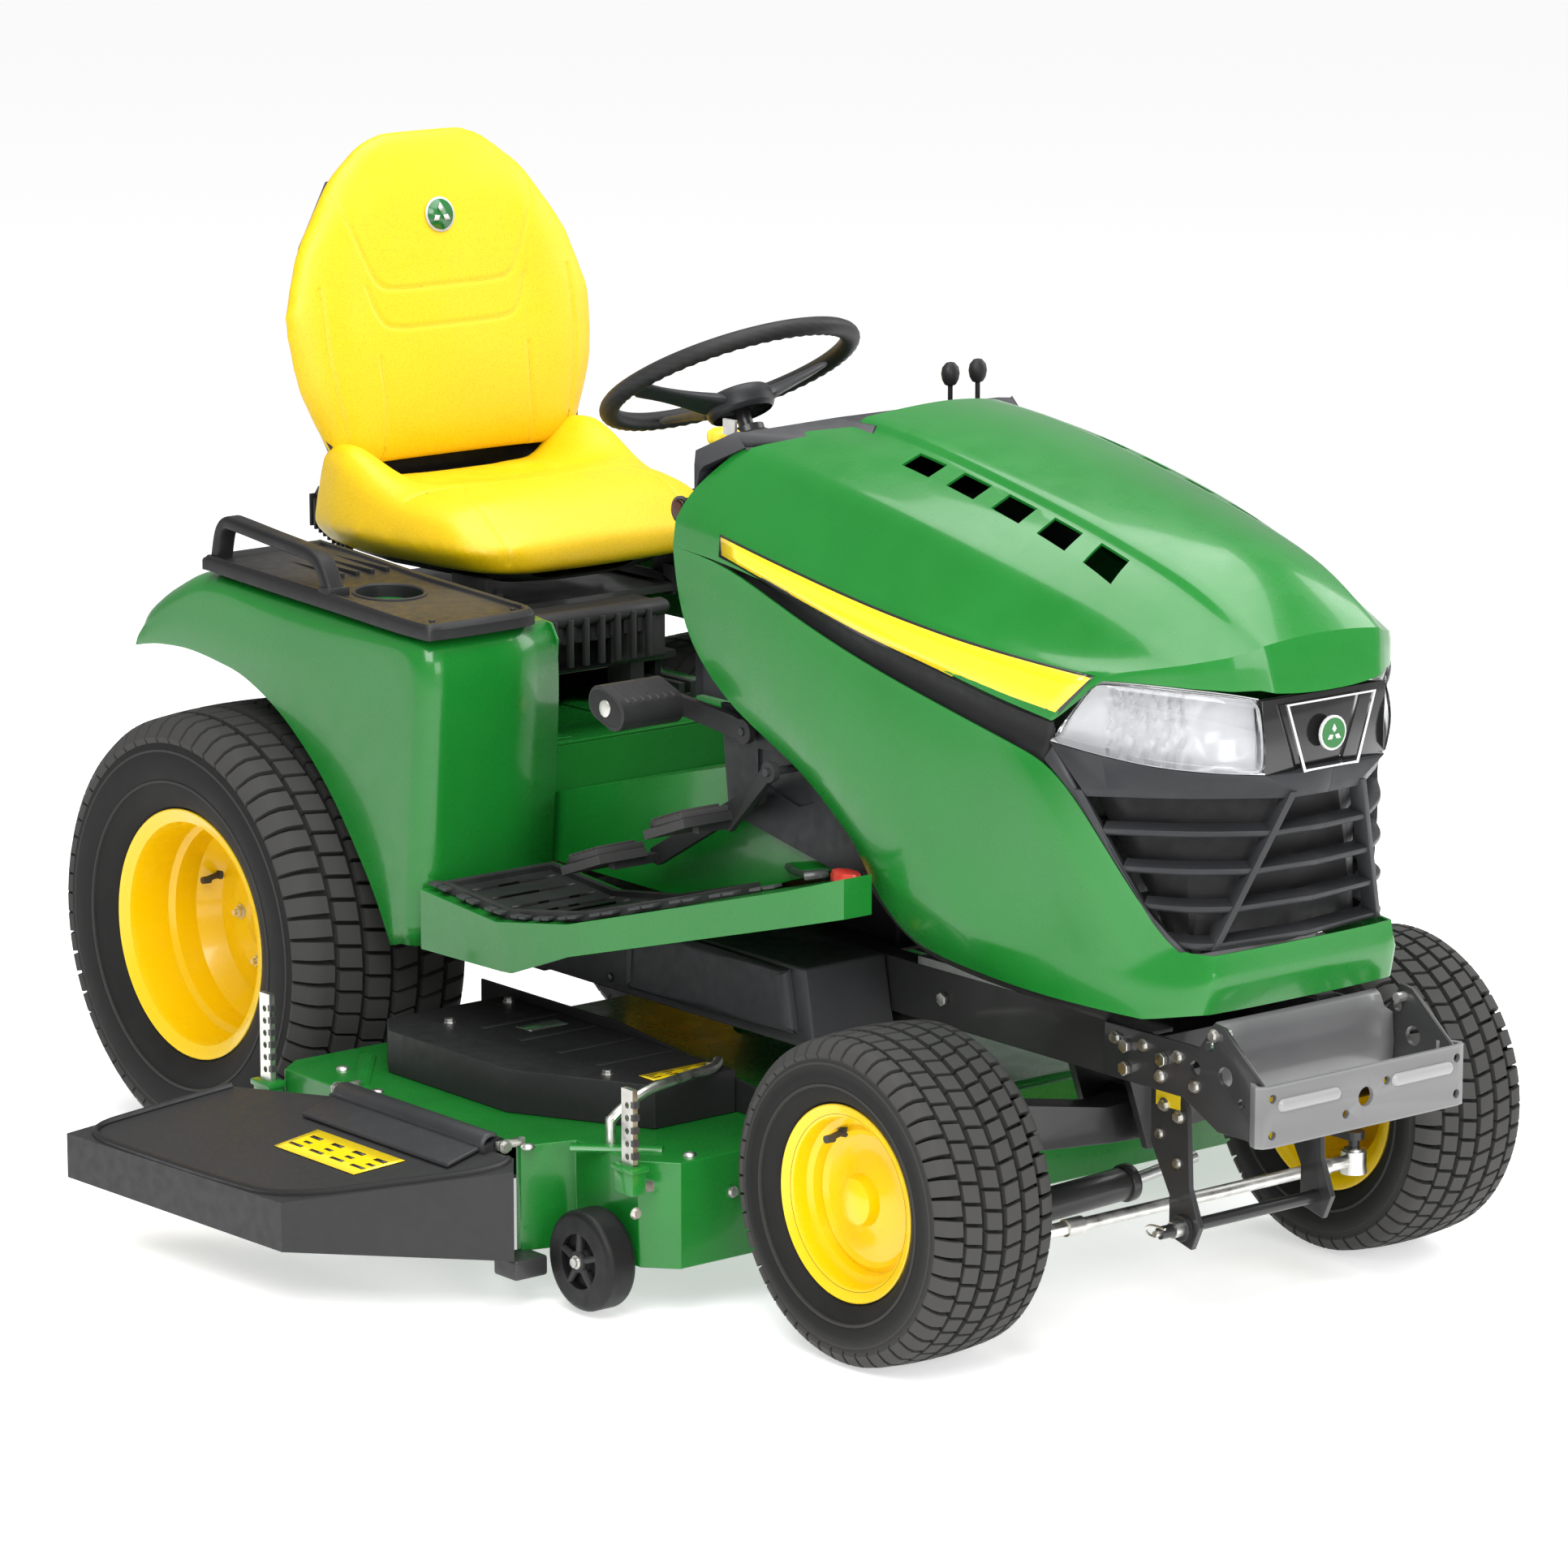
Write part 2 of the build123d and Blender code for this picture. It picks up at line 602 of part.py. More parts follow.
def knuckle(name, side):
    with BuildPart() as stub:
        bar_z(side * kingpin_x, -wheelbase, (182, 300), kingpin_radius)
        bar_z(side * kingpin_x, -wheelbase, (288.5, 300), 19)
        bar_z(side * kingpin_x, -wheelbase, (180, 225.5), 23)
        bar_x(sorted((side * kingpin_x, side * 441)), -wheelbase, front_radius, spindle_radius)
        arm = [(side * (kingpin_x - 16), -wheelbase + 10), (side * (kingpin_x + 16), -wheelbase + 10),
               (side * (arm_x + 13), arm_y), (side * (arm_x - 13), arm_y)]
        plan_plate(arm, (180, 190))
        bar_z(side * arm_x, arm_y, (180, 190), 13)
        bar_z(side * arm_x, arm_y, (arm_z - 10, 182), 7)
    save(stub, name)


def tie_rod():
    with BuildPart() as rod:
        bar_x((-arm_x, arm_x), arm_y, arm_z, 8)
        for side in (-1, 1):
            bar_z(side * arm_x, arm_y, (arm_z - 13, arm_z + 13), 16)
            slack = running_gap if side > 0 else 0.6  # the right ball joint is the linkage's open pivot
            bar_z(side * arm_x, arm_y, (arm_z - 11, arm_z + 14), 7 + slack, Mode.SUBTRACT)
            bar_x(sorted((side * 190, side * 216)), arm_y, arm_z, 11)
    save(rod, "tie_rod")


def steering_column():
    reach = 280
    with BuildPart() as column:
        with BuildSketch(tilt_plane.offset(-reach)):
            Circle(22)
        extrude(amount=reach - 74)
        with BuildSketch(tilt_plane.offset(-76)):
            Circle(10)
        extrude(amount=54)
        bar_x((-34, 34), tilt_y, tilt_z, 26)
        bar_x((-34, 34), tilt_y, tilt_z, 8 + running_gap, Mode.SUBTRACT)
    save(column, "steering_column")


def steering_wheel():
    with BuildPart() as wheel:
        with Locations(tilt_plane.location):
            Torus(wheel_radius, 13)
        with BuildSketch(tilt_plane.offset(-56)):
            Circle(46)
        extrude(amount=30, taper=8)
        for outward in (tilt_plane.x_dir, tilt_plane.y_dir, -tilt_plane.x_dir):
            outline = [(30, -56), (44, -28), (124, -4), (156, 4), (158, -6), (126, -24), (50, -56)]
            across = outward.cross(tilt_plane.z_dir)
            blade = Plane(origin=tilt_plane.origin, x_dir=outward, z_dir=across)
            with BuildSketch(blade.offset(-17)):
                Polygon(*outline, align=None)
            extrude(amount=34)
        with BuildSketch(tilt_plane.offset(-57)):
            Circle(10 + running_gap)
        extrude(amount=38, mode=Mode.SUBTRACT)
    save(wheel, "steering_wheel")


def controls():
    with BuildPart() as pto_knob:
        bar_z(-150, -668, (945, 996), 4)
        bar_z(-150, -668, (992, 1014), 17)
        fillet(pto_knob.edges().filter_by(GeomType.CIRCLE).group_by(Axis.Z)[-1], radius=5)
    save(pto_knob, "pto_knob")
    with BuildPart() as key:
        bar_z(-196, -738, (960, 1024), 4)
        block((-198, -194), (-750, -726), (1024, 1044))
    save(key, "ignition_key")
    for name, x in (("throttle_lever", 150), ("lift_lever", 196)):
        with BuildPart() as lever:
            block((x - 3.5, x + 3.5), (-761, -749), (940, 1080))
            bar_z(x, -755, (1080, 1104), 12)
        save(lever, name)


def pedals():
    with BuildPart() as brake:
        with BuildSketch(Plane.YZ.offset(-356)):
            with Locations((-690, 690)):
                SlotOverall(74, 44, rotation=20)
        extrude(amount=96)
        arm = [(-690, 676), (-690, 700), (-820, 690), (-852, 684), (-852, 660), (-820, 662)]
        side_plate(arm, (-260, -250))
        bar_x((-260, -250), *brake_pin, 16)
        bar_x((-262, -248), *brake_pin, 5 + running_gap, Mode.SUBTRACT)
    save(brake, "brake_pedal")
    for name, arm_side, y, z, pin in (("forward_pedal", -262, -650, 484, forward_pin),
                                      ("reverse_pedal", -282, -820, 560, reverse_pin)):
        with BuildPart() as pedal:
            with Locations(Location((-330, y, z), (-20, 0, 0))):
                Box(76, 84, 12)
            arm = [(y - 20, z - 2), (y - 20, z + 12), (pin[0], pin[1] + 13), (pin[0] - 10, pin[1]),
                   (pin[0], pin[1] - 13), (y - 34, z - 8)]
            side_plate(arm, (arm_side - 10, arm_side))
            block((-340, arm_side), (y - 34, y - 22), (z - 4, z + 8))
            bar_x((arm_side - 10, arm_side), *pin, 13)
            bar_x((arm_side - 12, arm_side + 2), *pin, 5 + running_gap, Mode.SUBTRACT)
        save(pedal, name)


# seat

def seat_suspension():
    with BuildPart() as lift:
        for side in (-1, 1):
            block(sorted((side * 128.3, side * 137.7)), (-170, 130), (575, 612))
        block((-160, 160), (-175, 135), (612, 622))
        bar_z(-60, 60, (622, 716), 32)
        for side in (-1, 1):
            arms = [(120, 622), (136, 622), (-120, 712), (-136, 712)]
            side_plate(arms, sorted((side * 140, side * 150)))
        block((-155, 155), (-185, 125), (706, 716))
        for side in (-1, 1):
            block(sorted((side * 150, side * 162)), (-200, -160), (706, 740))
            bar_x(sorted((side * 150, side * 176)), -180, 728, 6)
    save(lift, "seat_suspension")


back_base, back_lean = (102, 862), 9.5


def back_plane():
    lean = radians(back_lean)
    return Plane(origin=(0, *back_base), x_dir=(1, 0, 0), z_dir=(0, -cos(lean), sin(lean)))


def back_outline(grow):
    return both_sides([(0, 466 + grow), (86, 454 + grow), (158 + grow, 396), (222 + grow, 306),
                       (254 + grow, 214), (244 + grow, 120), (208 + grow, 40), (170, 4 - grow)])


def seat_back():
    with BuildPart() as pad:
        with BuildSketch(back_plane().offset(-38)):
            Polygon(*back_outline(0), align=None)
        extrude(amount=74)
        fillet(pad.faces().sort_by(Axis.Y)[0].edges(), radius=26)
    save(pad, "seat_back")


def seat_cushion():
    outline = both_sides([(0, cushion_front - 12), (120, cushion_front - 6), (196, cushion_front + 26),
                          (232, -110), (246, 0), (226, cushion_rear - 20), (150, cushion_rear - 6)])
    with BuildPart() as pad:
        plan_plate(outline, (772, 868))
        fillet(pad.faces().sort_by(Axis.Z)[-1].edges(), radius=28)
        fillet(pad.faces().sort_by(Axis.Z)[0].edges(), radius=12)
        side_plate([(90, 845), (60, 900), (200, 900), (200, 700), (118, 700)], (-260, 260), Mode.SUBTRACT)
    save(pad, "seat_cushion")


def seat_shell():
    # black moulding behind the back pad and under the cushion, with its two hinge lugs
    with BuildPart() as shell:
        with BuildSketch(back_plane().offset(-60)):
            Polygon(*back_outline(4), align=None)
        extrude(amount=21.5)
        tray = both_sides([(0, -160), (190, -150), (216, -60), (222, 130), (180, 170)])
        plan_plate(tray, (742, 771.5))
        side_plate([(124, 742), (124, 846), (176, 862), (170, 742)], (-190, 190))
        for side in (-1, 1):
            ear = [(-196, 716), (-196, 744), (-160, 760), (-120, 745), (-120, 742), (-166, 716)]
            side_plate(ear, sorted((side * 163, side * 175)))
            bar_x(sorted((side * 162, side * 177)), -180, 728, 6 + running_gap, Mode.SUBTRACT)
    save(shell, "seat_shell")


# mower deck

deck_right = deck_centre - deck_half


def deck_outline(inset):
    # the same on both sides of its own centre, with the front corners cut for the gauge wheels
    half = [(0, deck_front + inset), (580 - inset, deck_front + inset), (614 - inset, deck_front + 40),
            (614 - inset, -856 + inset), (684 - inset, -836 + inset), (deck_half - inset, -500),
            (deck_half - inset, -350), (660, deck_rear - inset), (0, deck_rear - inset)]
    return [(deck_centre + x, y) for x, y in half] + [(deck_centre - x, y) for x, y in reversed(half)]


def deck_shell():
    with BuildPart() as deck:
        plan_plate(deck_outline(0), (deck_bottom, deck_top))
        plan_plate(deck_outline(sheet), (deck_bottom - 1, deck_top - sheet), Mode.SUBTRACT)
        block((deck_right - 20, deck_right + 40), (-826, -505), (deck_bottom - 1, deck_top - sheet),
              Mode.SUBTRACT)  # discharge opening
        for x, y in spindles():
            bar_z(x, y, (deck_top, deck_top + 20), 44)
            bar_z(x, y, (deck_top - 40, deck_top), 36)
            bar_z(x, y, (deck_top - 50, deck_top + 30), 12 + running_gap, Mode.SUBTRACT)
    save(deck, "deck_shell")


def spindles():
    return [(deck_centre - spindle_step, spindle_y), (deck_centre, spindle_y - spindle_lead),
            (deck_centre + spindle_step, spindle_y)]


def blades():
    for (x, y), word in zip(spindles(), ("right", "centre", "left")):
        with BuildPart() as blade:
            bar_z(x, y, (92, 244), 12)
            block((x - blade_length / 2, x + blade_length / 2), (y - 30, y + 30), (92, 97))
            for end in (-1, 1):
                lift = [(y + end * 30, 92), (y + end * 30, 97), (y + end * 10, 116), (y + end * 7, 113)]
                side_plate([(p, q) for p, q in lift],
                           sorted((x - end * 150, x - end * blade_length / 2)))
            bar_z(x, y, (97, 120), 26)
            bar_z(x, y, (221, 240), 54)
            with BuildSketch(Plane.XZ.offset(-y)):
                with Locations((x + 54, 230.5)):
                    Trapezoid(14, 12, 60, rotation=90)
            revolve(axis=Axis((x, y, 0), (0, 0, 1)), mode=Mode.SUBTRACT)
        save(blade, f"blade_spindle_{word}")


def cover_outline(x, inset):
    # clipped-corner plan of one belt cover, about its spindle
    inner, outer = x + 66 - inset, x - 92 + inset
    return [(outer - 30, -400 - inset), (inner, -400 - inset), (inner, -880 + inset),
            (outer + 30, -880 + inset), (outer - 64, -700), (outer - 64, -450)]


def belt_covers():
    # hollow covers over the outer spindles, each with a tall shield beside the side tank
    with BuildPart() as covers:
        for side, (x, y) in ((1, spindles()[0]), (-1, spindles()[2])):
            for inset, z, mode in ((0, (deck_top + 0.2, 256), Mode.ADD),
                                   (sheet, (deck_top, 256 - sheet), Mode.SUBTRACT)):
                points = [(x + side * (px - x), py) for px, py in cover_outline(x, inset)]
                plan_plate(points, z, mode)
        side_plate([(-345, deck_top + 0.2), (-345, 268), (-640, 268), (-985, 232),
                    (-985, deck_top + 0.2)], (-300, -296))
    save(covers, "belt_covers")


def deck_hardware():
    # perforated height posts, gauge wheel bolts, chute rod and skid bar
    with BuildPart() as parts:
        for side in (-1, 1):
            front, rear = deck_centre + side * 643, deck_centre + side * 712
            block(sorted((front - 4, front + 4)), (-1012, -990), (170, 300))
            block(sorted((deck_centre + side * 614.2, front + side * 4)), (-1012, -990), (170, 182))
            block(sorted((rear - 4, rear + 4)), (-348, -326), (150, 300))
            stud = sorted((deck_centre + side * (deck_half + 0.2), rear + side * 4))
            block(stud, (-348, -326), (150, 165))
            for hole in range(6):
                z = 200 + 16 * hole
                bar_x(sorted((front - 6, front + 6)), -1001, z, 4, Mode.SUBTRACT)
                bar_x(sorted((rear - 6, rear + 6)), -337, z, 4, Mode.SUBTRACT)
            gauge_front, gauge_rear = gauge_places(side)
            bar_x(sorted((deck_centre + side * 614.2, gauge_front[0] + side * 30)), gauge_front[1], 71, 6)
            plate = [(gauge_rear[1] - 12, 58), (gauge_rear[1] + 14, 58), (gauge_rear[1] + 14, 90),
                     (deck_rear + 0.2, 150), (deck_rear + 0.2, 100)]
            inner = gauge_rear[0] - side * 32
            side_plate(plate, sorted((inner, inner + side * 6)))
            bar_x(sorted((inner, gauge_rear[0] + side * 30)), gauge_rear[1], 71, 6)
        for y in (-832, -489):  # ears of the chute's rod, on tabs beside the deck's wall
            block((chute_x - 9, deck_right + 20), (y - 3, y + 3), (deck_top + 0.2, chute_z + 14))
        bar_y(chute_x, (-836, -485), chute_z + 8, 4)
    save(parts, "deck_hardware")


def gauge_places(side):
    return ((deck_centre + side * 645, -928), (deck_centre + side * 672, -254))


def gauge_wheels():
    for side, word in ((-1, "right"), (1, "left")):
        for (x, y), end in zip(gauge_places(side), ("front", "rear")):
            half = gauge_width / 2
            with BuildPart() as wheel:
                bar_x((x - half, x + half), y, 71, gauge_radius)
                fillet(wheel.edges().filter_by(GeomType.CIRCLE), radius=9)
                for face in (x - half, x + half):
                    bar_x((face - 10, face + 10), y, 71, 34, Mode.SUBTRACT)
                bar_x((x - half, x + half), y, 71, 14)
                bar_x((x - half - 1, x + half + 1), y, 71, 6 + running_gap, Mode.SUBTRACT)
            save(wheel, f"gauge_wheel_{end}_{word}")


def chute():
    # drooping guard over the discharge opening, hinged on a rod beside it
    hinge = chute_z + 8
    outline = [(-640, -500), (-640, -870), (-664, -902), (-860, -692), (chute_tip, -244), (-690, -330)]
    inner = [(-600, -480), (-600, -850), (-664, -896), (-855, -689), (-873, -100), (-600, -100)]
    with BuildPart() as room:
        plan_plate(inner, (60, 230))
        front_plate([(-590, 206), (-884, 131), (-884, 60), (-590, 60)], (-1000, -50), Mode.INTERSECT)
    with BuildPart() as guard:
        plan_plate(outline, (60, 230))
        front_plate([(-610, 206), (-884, 136), (-884, 80), (-610, 80)], (-1000, -200), Mode.INTERSECT)
        add(room.part, mode=Mode.SUBTRACT)
        bar_y(chute_x, (-826, -495), hinge, 9)
        front_plate([(-630, 197), (-630, 210), (-652, 204), (-652, 190)], (-826, -500))
        bar_y(chute_x, (-830, -491), hinge, 4 + running_gap, Mode.SUBTRACT)
    save(guard, "chute")


for build in (wheels, frame_rails, transaxle, engine, muffler, battery, side_tanks, rear_hitch_plate,
              front_hitch, hitch_bracket, fender_deck, fender_consoles, tail_lenses, footrest, foot_mats,
              column_panels, dash_cowl, seat_box, seat_rails, frame_bolts, hood_shell,
              hood_face, side_stripes, front_axle, tie_rod, steering_column, steering_wheel, controls,
              pedals, seat_suspension, seat_back, seat_cushion, seat_shell, deck_shell, blades,
              belt_covers, deck_hardware, gauge_wheels, chute):
    build()
for word, hand in (("right", -1), ("left", 1)):
    knuckle(f"knuckle_{word}", hand)
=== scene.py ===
import json
import math

import bmesh
import bpy
from mathutils import Matrix, Vector
from mathutils.bvhtree import BVHTree
from mathutils.kdtree import KDTree


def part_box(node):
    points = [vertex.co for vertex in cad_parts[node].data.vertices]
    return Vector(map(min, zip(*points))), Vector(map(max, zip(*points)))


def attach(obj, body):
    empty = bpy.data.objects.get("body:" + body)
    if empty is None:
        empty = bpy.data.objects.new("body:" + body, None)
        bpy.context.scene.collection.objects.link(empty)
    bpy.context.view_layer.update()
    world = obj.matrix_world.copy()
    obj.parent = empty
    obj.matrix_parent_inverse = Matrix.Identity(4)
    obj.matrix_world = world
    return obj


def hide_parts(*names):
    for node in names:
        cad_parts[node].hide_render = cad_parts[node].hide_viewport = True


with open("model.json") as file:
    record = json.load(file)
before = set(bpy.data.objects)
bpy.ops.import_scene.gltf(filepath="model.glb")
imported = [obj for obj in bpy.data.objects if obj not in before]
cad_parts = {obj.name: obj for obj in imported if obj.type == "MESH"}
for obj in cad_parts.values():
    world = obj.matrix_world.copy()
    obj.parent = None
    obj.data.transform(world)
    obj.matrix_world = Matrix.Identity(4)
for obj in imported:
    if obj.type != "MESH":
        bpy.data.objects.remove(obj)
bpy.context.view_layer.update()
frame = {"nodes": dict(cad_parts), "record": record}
print("frame loaded,", len(frame["nodes"]), "nodes")

# The tractor's own axes: x across from its middle, y from the rear axle, z from the ground.
leftTyre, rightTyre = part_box("rear_tyre_left"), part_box("rear_tyre_right")
middleX = (leftTyre[1].x + rightTyre[0].x) / 2
axleY = (leftTyre[0].y + leftTyre[1].y) / 2
bodyOf = {node: body for body, nodes in frame["record"]["behaviour"]["bodies"].items() for node in nodes}
slotOf = {part["node"]: part["material_slot"] for part in frame["record"]["subparts"]}


def at(x, y, z):  # tractor millimetres to frame metres
    return Vector((middleX + x / 1000, axleY + y / 1000, z / 1000))


def boxMm(node):  # a node's corners in tractor millimetres
    low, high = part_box(node)
    shift = Vector((middleX, axleY, 0))
    return (low - shift) * 1000, (high - shift) * 1000


# mesh helpers

def turns(count):  # evenly spaced angles round a full circle
    return [2 * math.pi * i / count for i in range(count)]


def addRing(bm, points, closed=True):  # a loop of new edges through the points
    verts = [bm.verts.new(p) for p in points]
    pairs = list(zip(verts, verts[1:] + verts[:1])) if closed else list(zip(verts, verts[1:]))
    return [bm.edges.new(pair) for pair in pairs]


def addLoft(bm, rings, closed=True, capped=False):  # skins a row of rings
    loops = [addRing(bm, ring, closed) for ring in rings]
    for one, two in zip(loops, loops[1:]):
        bmesh.ops.bridge_loops(bm, edges=one + two)
    if capped:
        for loop in (loops[0], loops[-1]):
            bmesh.ops.contextual_create(bm, geom=loop)
    return loops


def addLathe(bm, profile, centre, steps=64):  # spins (x, radius) points about the cross axis
    verts = [bm.verts.new(at(x, centre[0], centre[1] + r)) for x, r in profile]
    edges = [bm.edges.new(pair) for pair in zip(verts, verts[1:])]
    bmesh.ops.spin(bm, geom=verts + edges, cent=at(0, *centre), axis=(1, 0, 0), angle=2 * math.pi,
                   steps=steps, use_merge=True)


def addPlate(bm, points, push):  # a flat outline pushed to a thickness
    face = bm.faces.new([bm.verts.new(p) for p in points])
    grown = bmesh.ops.extrude_face_region(bm, geom=[face])
    bmesh.ops.translate(bm, verts=[g for g in grown["geom"] if isinstance(g, bmesh.types.BMVert)], vec=push)
    return face


def addBox(bm, x, y, z, matrix=None):  # a box from three pairs in tractor millimetres
    low, high = at(x[0], y[0], z[0]), at(x[1], y[1], z[1])
    made = bmesh.ops.create_cube(bm, size=1)
    bmesh.ops.scale(bm, verts=made["verts"], vec=high - low)
    bmesh.ops.translate(bm, verts=made["verts"], vec=(low + high) / 2)
    if matrix:
        bmesh.ops.transform(bm, verts=made["verts"], matrix=matrix)
    return made["verts"]


def addRod(bm, start, end, radius, tip=None, steps=20):  # a round bar between two points
    run = end - start
    turn = run.to_track_quat("Z", "Y").to_matrix().to_4x4()
    made = bmesh.ops.create_cone(bm, cap_ends=True, segments=steps, radius1=radius,
                                 radius2=radius if tip is None else tip, depth=run.length,
                                 matrix=Matrix.Translation((start + end) / 2) @ turn)
    return made["verts"]


def addHexBolt(bm, centre, outward, size):  # a washer, a hexagon head and its end
    outward = outward.normalized()
    addRod(bm, centre, centre + outward * size * 0.16, size * 0.95, steps=24)
    addRod(bm, centre, centre + outward * size * 0.7, size * 0.72, size * 0.68, steps=6)


def softenEdges(bm, width, segments=2, angle=30):  # rounds every edge sharper than the angle
    sharp = [e for e in bm.edges if len(e.link_faces) == 2 and e.calc_face_angle(0) > math.radians(angle)]
    if sharp:
        bmesh.ops.bevel(bm, geom=sharp, offset=width, offset_type="OFFSET", segments=segments, profile=0.5,
                        affect="EDGES", clamp_overlap=True, material=-1)


def putObject(mesh, name, body, finish, nodes=()):
    made = bpy.data.objects.new(name, mesh)
    bpy.context.scene.collection.objects.link(made)
    mesh.materials.append(finish)
    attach(made, body)
    if nodes:
        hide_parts(*nodes)
    return made


slotFor = {
    "amberLens": "red_lens",
    "blackFilm": "black_plastic",
    "blackGloss": "black_plastic",
    "blackPaint": "black_steel",
    "blackPlastic": "black_plastic",
    "chrome": "reflector",
    "clearLens": "clear_lens",
    "film": "yellow_film",
    "green": "green_paint",
    "greyPaint": "grey_steel",
    "greyPlastic": "grey_plastic",
    "grip": "black_rubber",
    "lampSilver": "reflector",
    "ribHighlightGrey": "grey_steel",
    "redPlastic": "red_lens",
    "silverFilm": "grey_plastic",
    "steel": "zinc_steel",
    "thread": "yellow_vinyl",
    "zinc": "zinc_steel",
}


def finishPiece(bm, name, body, finish, slot=None, nodes=(), angle=32, smooth=0, outward=True):
    bmesh.ops.remove_doubles(bm, verts=bm.verts, dist=0.00002)
    if outward:
        bmesh.ops.recalc_face_normals(bm, faces=bm.faces)
    mesh = bpy.data.meshes.new(name)
    bm.to_mesh(mesh)
    bm.free()
    mesh.shade_smooth()
    mesh.set_sharp_from_angle(angle=math.radians(angle))
    slot = slot or (slotOf[nodes[0]] if nodes else slotFor[finish])
    made = putObject(mesh, name, body, finishes[finish], nodes)
    if smooth:
        skin = made.modifiers.new("smooth", "SUBSURF")
        skin.levels = skin.render_levels = smooth
    return made


def wallUp(piece, thickness, offset=-1):  # gives a skin its wall, inwards
    wall = piece.modifiers.new("wall", "SOLIDIFY")
    wall.thickness, wall.offset = thickness, offset
    return piece


def addTube(bm, points, radius, steps=12, closed=False):  # a round tube along a smooth line
    curve = bpy.data.curves.new("route", "CURVE")
    curve.dimensions, curve.resolution_u = "3D", 6
    curve.bevel_depth, curve.bevel_resolution, curve.use_fill_caps = radius, max(1, steps // 4 - 1), True
    line = curve.splines.new("NURBS")
    line.points.add(len(points) - 1)
    for point, place in zip(line.points, points):
        point.co = (*place, 1)
    line.order_u, line.use_endpoint_u, line.use_cyclic_u = 3, not closed, closed
    holder = bpy.data.objects.new("route", curve)
    mesh = bpy.data.meshes.new_from_object(holder)
    bm.from_mesh(mesh)
    bpy.data.objects.remove(holder)
    bpy.data.meshes.remove(mesh)
    bpy.data.curves.remove(curve)


# finishes

def newFinish(name):
    finish = bpy.data.materials.new(name)
    finish.use_nodes = True
    tree = finish.node_tree
    return finish, tree, tree.nodes["Principled BSDF"]


def link(tree, source, sourceName, target, targetName):
    tree.links.new(source.outputs[sourceName], target.inputs[targetName])


def addNoise(tree, scale, detail=3.0, rough=0.5):
    place = tree.nodes.new("ShaderNodeTexCoord")
    grain = tree.nodes.new("ShaderNodeTexNoise")
    grain.inputs["Scale"].default_value = scale
    grain.inputs["Detail"].default_value = detail
    grain.inputs["Roughness"].default_value = rough
    link(tree, place, "Object", grain, "Vector")
    return grain


def addRange(tree, source, low, high, fromLow=0.3, fromHigh=0.7):  # remaps a value
    remap = tree.nodes.new("ShaderNodeMapRange")
    for name, value in zip(("From Min", "From Max", "To Min", "To Max"), (fromLow, fromHigh, low, high)):
        remap.inputs[name].default_value = value
    tree.links.new(source, remap.inputs["Value"])
    return remap


def addMix(tree, factor, colourA, colourB):
    blend = tree.nodes.new("ShaderNodeMix")
    blend.data_type = "RGBA"
    tree.links.new(factor, blend.inputs["Factor"])
    for socket, colour in ((blend.inputs["A"], colourA), (blend.inputs["B"], colourB)):
        if isinstance(colour, bpy.types.NodeSocket):
            tree.links.new(colour, socket)
        else:
            socket.default_value = (*colour, 1)
    return blend.outputs["Result"]


def addEdgeWear(tree, strength):  # bright where the surface turns sharply outwards
    shape = tree.nodes.new("ShaderNodeNewGeometry")
    edge = addRange(tree, shape.outputs["Pointiness"], 0, strength, 0.52, 0.60)
    return edge.outputs["Result"]


def addBump(tree, height, strength, distance, shader):
    bump = tree.nodes.new("ShaderNodeBump")
    bump.inputs["Strength"].default_value = strength
    bump.inputs["Distance"].default_value = distance
    tree.links.new(height, bump.inputs["Height"])
    link(tree, bump, "Normal", shader, "Normal")


def makePaint(name, dark, light, worn, rough=(0.22, 0.34), coat=0.35, wear=0.35):
    # enamel: slow colour drift, fine orange peel, and paler dusty edges
    finish, tree, shader = newFinish(name)
    drift = addNoise(tree, 3.0)
    base = addMix(tree, addRange(tree, drift.outputs["Fac"], 0, 1).outputs["Result"], dark, light)
    tree.links.new(addMix(tree, addEdgeWear(tree, wear), base, worn), shader.inputs["Base Color"])
    haze = addNoise(tree, 24, 5)
    tree.links.new(addRange(tree, haze.outputs["Fac"], *rough).outputs["Result"], shader.inputs["Roughness"])
    shader.inputs["Coat Weight"].default_value = coat
    shader.inputs["Specular IOR Level"].default_value = 0.34
    shader.inputs["Coat Roughness"].default_value = 0.08
    addBump(tree, addNoise(tree, 420, 2).outputs["Fac"], 0.018, 0.0003, shader)
    return finish


def makePlastic(name, dark, light, worn, rough=(0.42, 0.58), grain=900, height=0.0002, wear=0.5):
    # moulded plastic: pebbled grain from cells and noise, shinier on rubbed edges
    finish, tree, shader = newFinish(name)
    drift = addNoise(tree, 6)
    base = addMix(tree, addRange(tree, drift.outputs["Fac"], 0, 1).outputs["Result"], dark, light)
    tree.links.new(addMix(tree, addEdgeWear(tree, wear), base, worn), shader.inputs["Base Color"])
    haze = addNoise(tree, 60, 4)
    tree.links.new(addRange(tree, haze.outputs["Fac"], *rough).outputs["Result"], shader.inputs["Roughness"])
    shader.inputs["Specular IOR Level"].default_value = 0.28
    place = tree.nodes.new("ShaderNodeTexCoord")
    cells = tree.nodes.new("ShaderNodeTexVoronoi")
    cells.inputs["Scale"].default_value = grain
    link(tree, place, "Object", cells, "Vector")
    addBump(tree, cells.outputs["Distance"], 0.35, height, shader)
    return finish


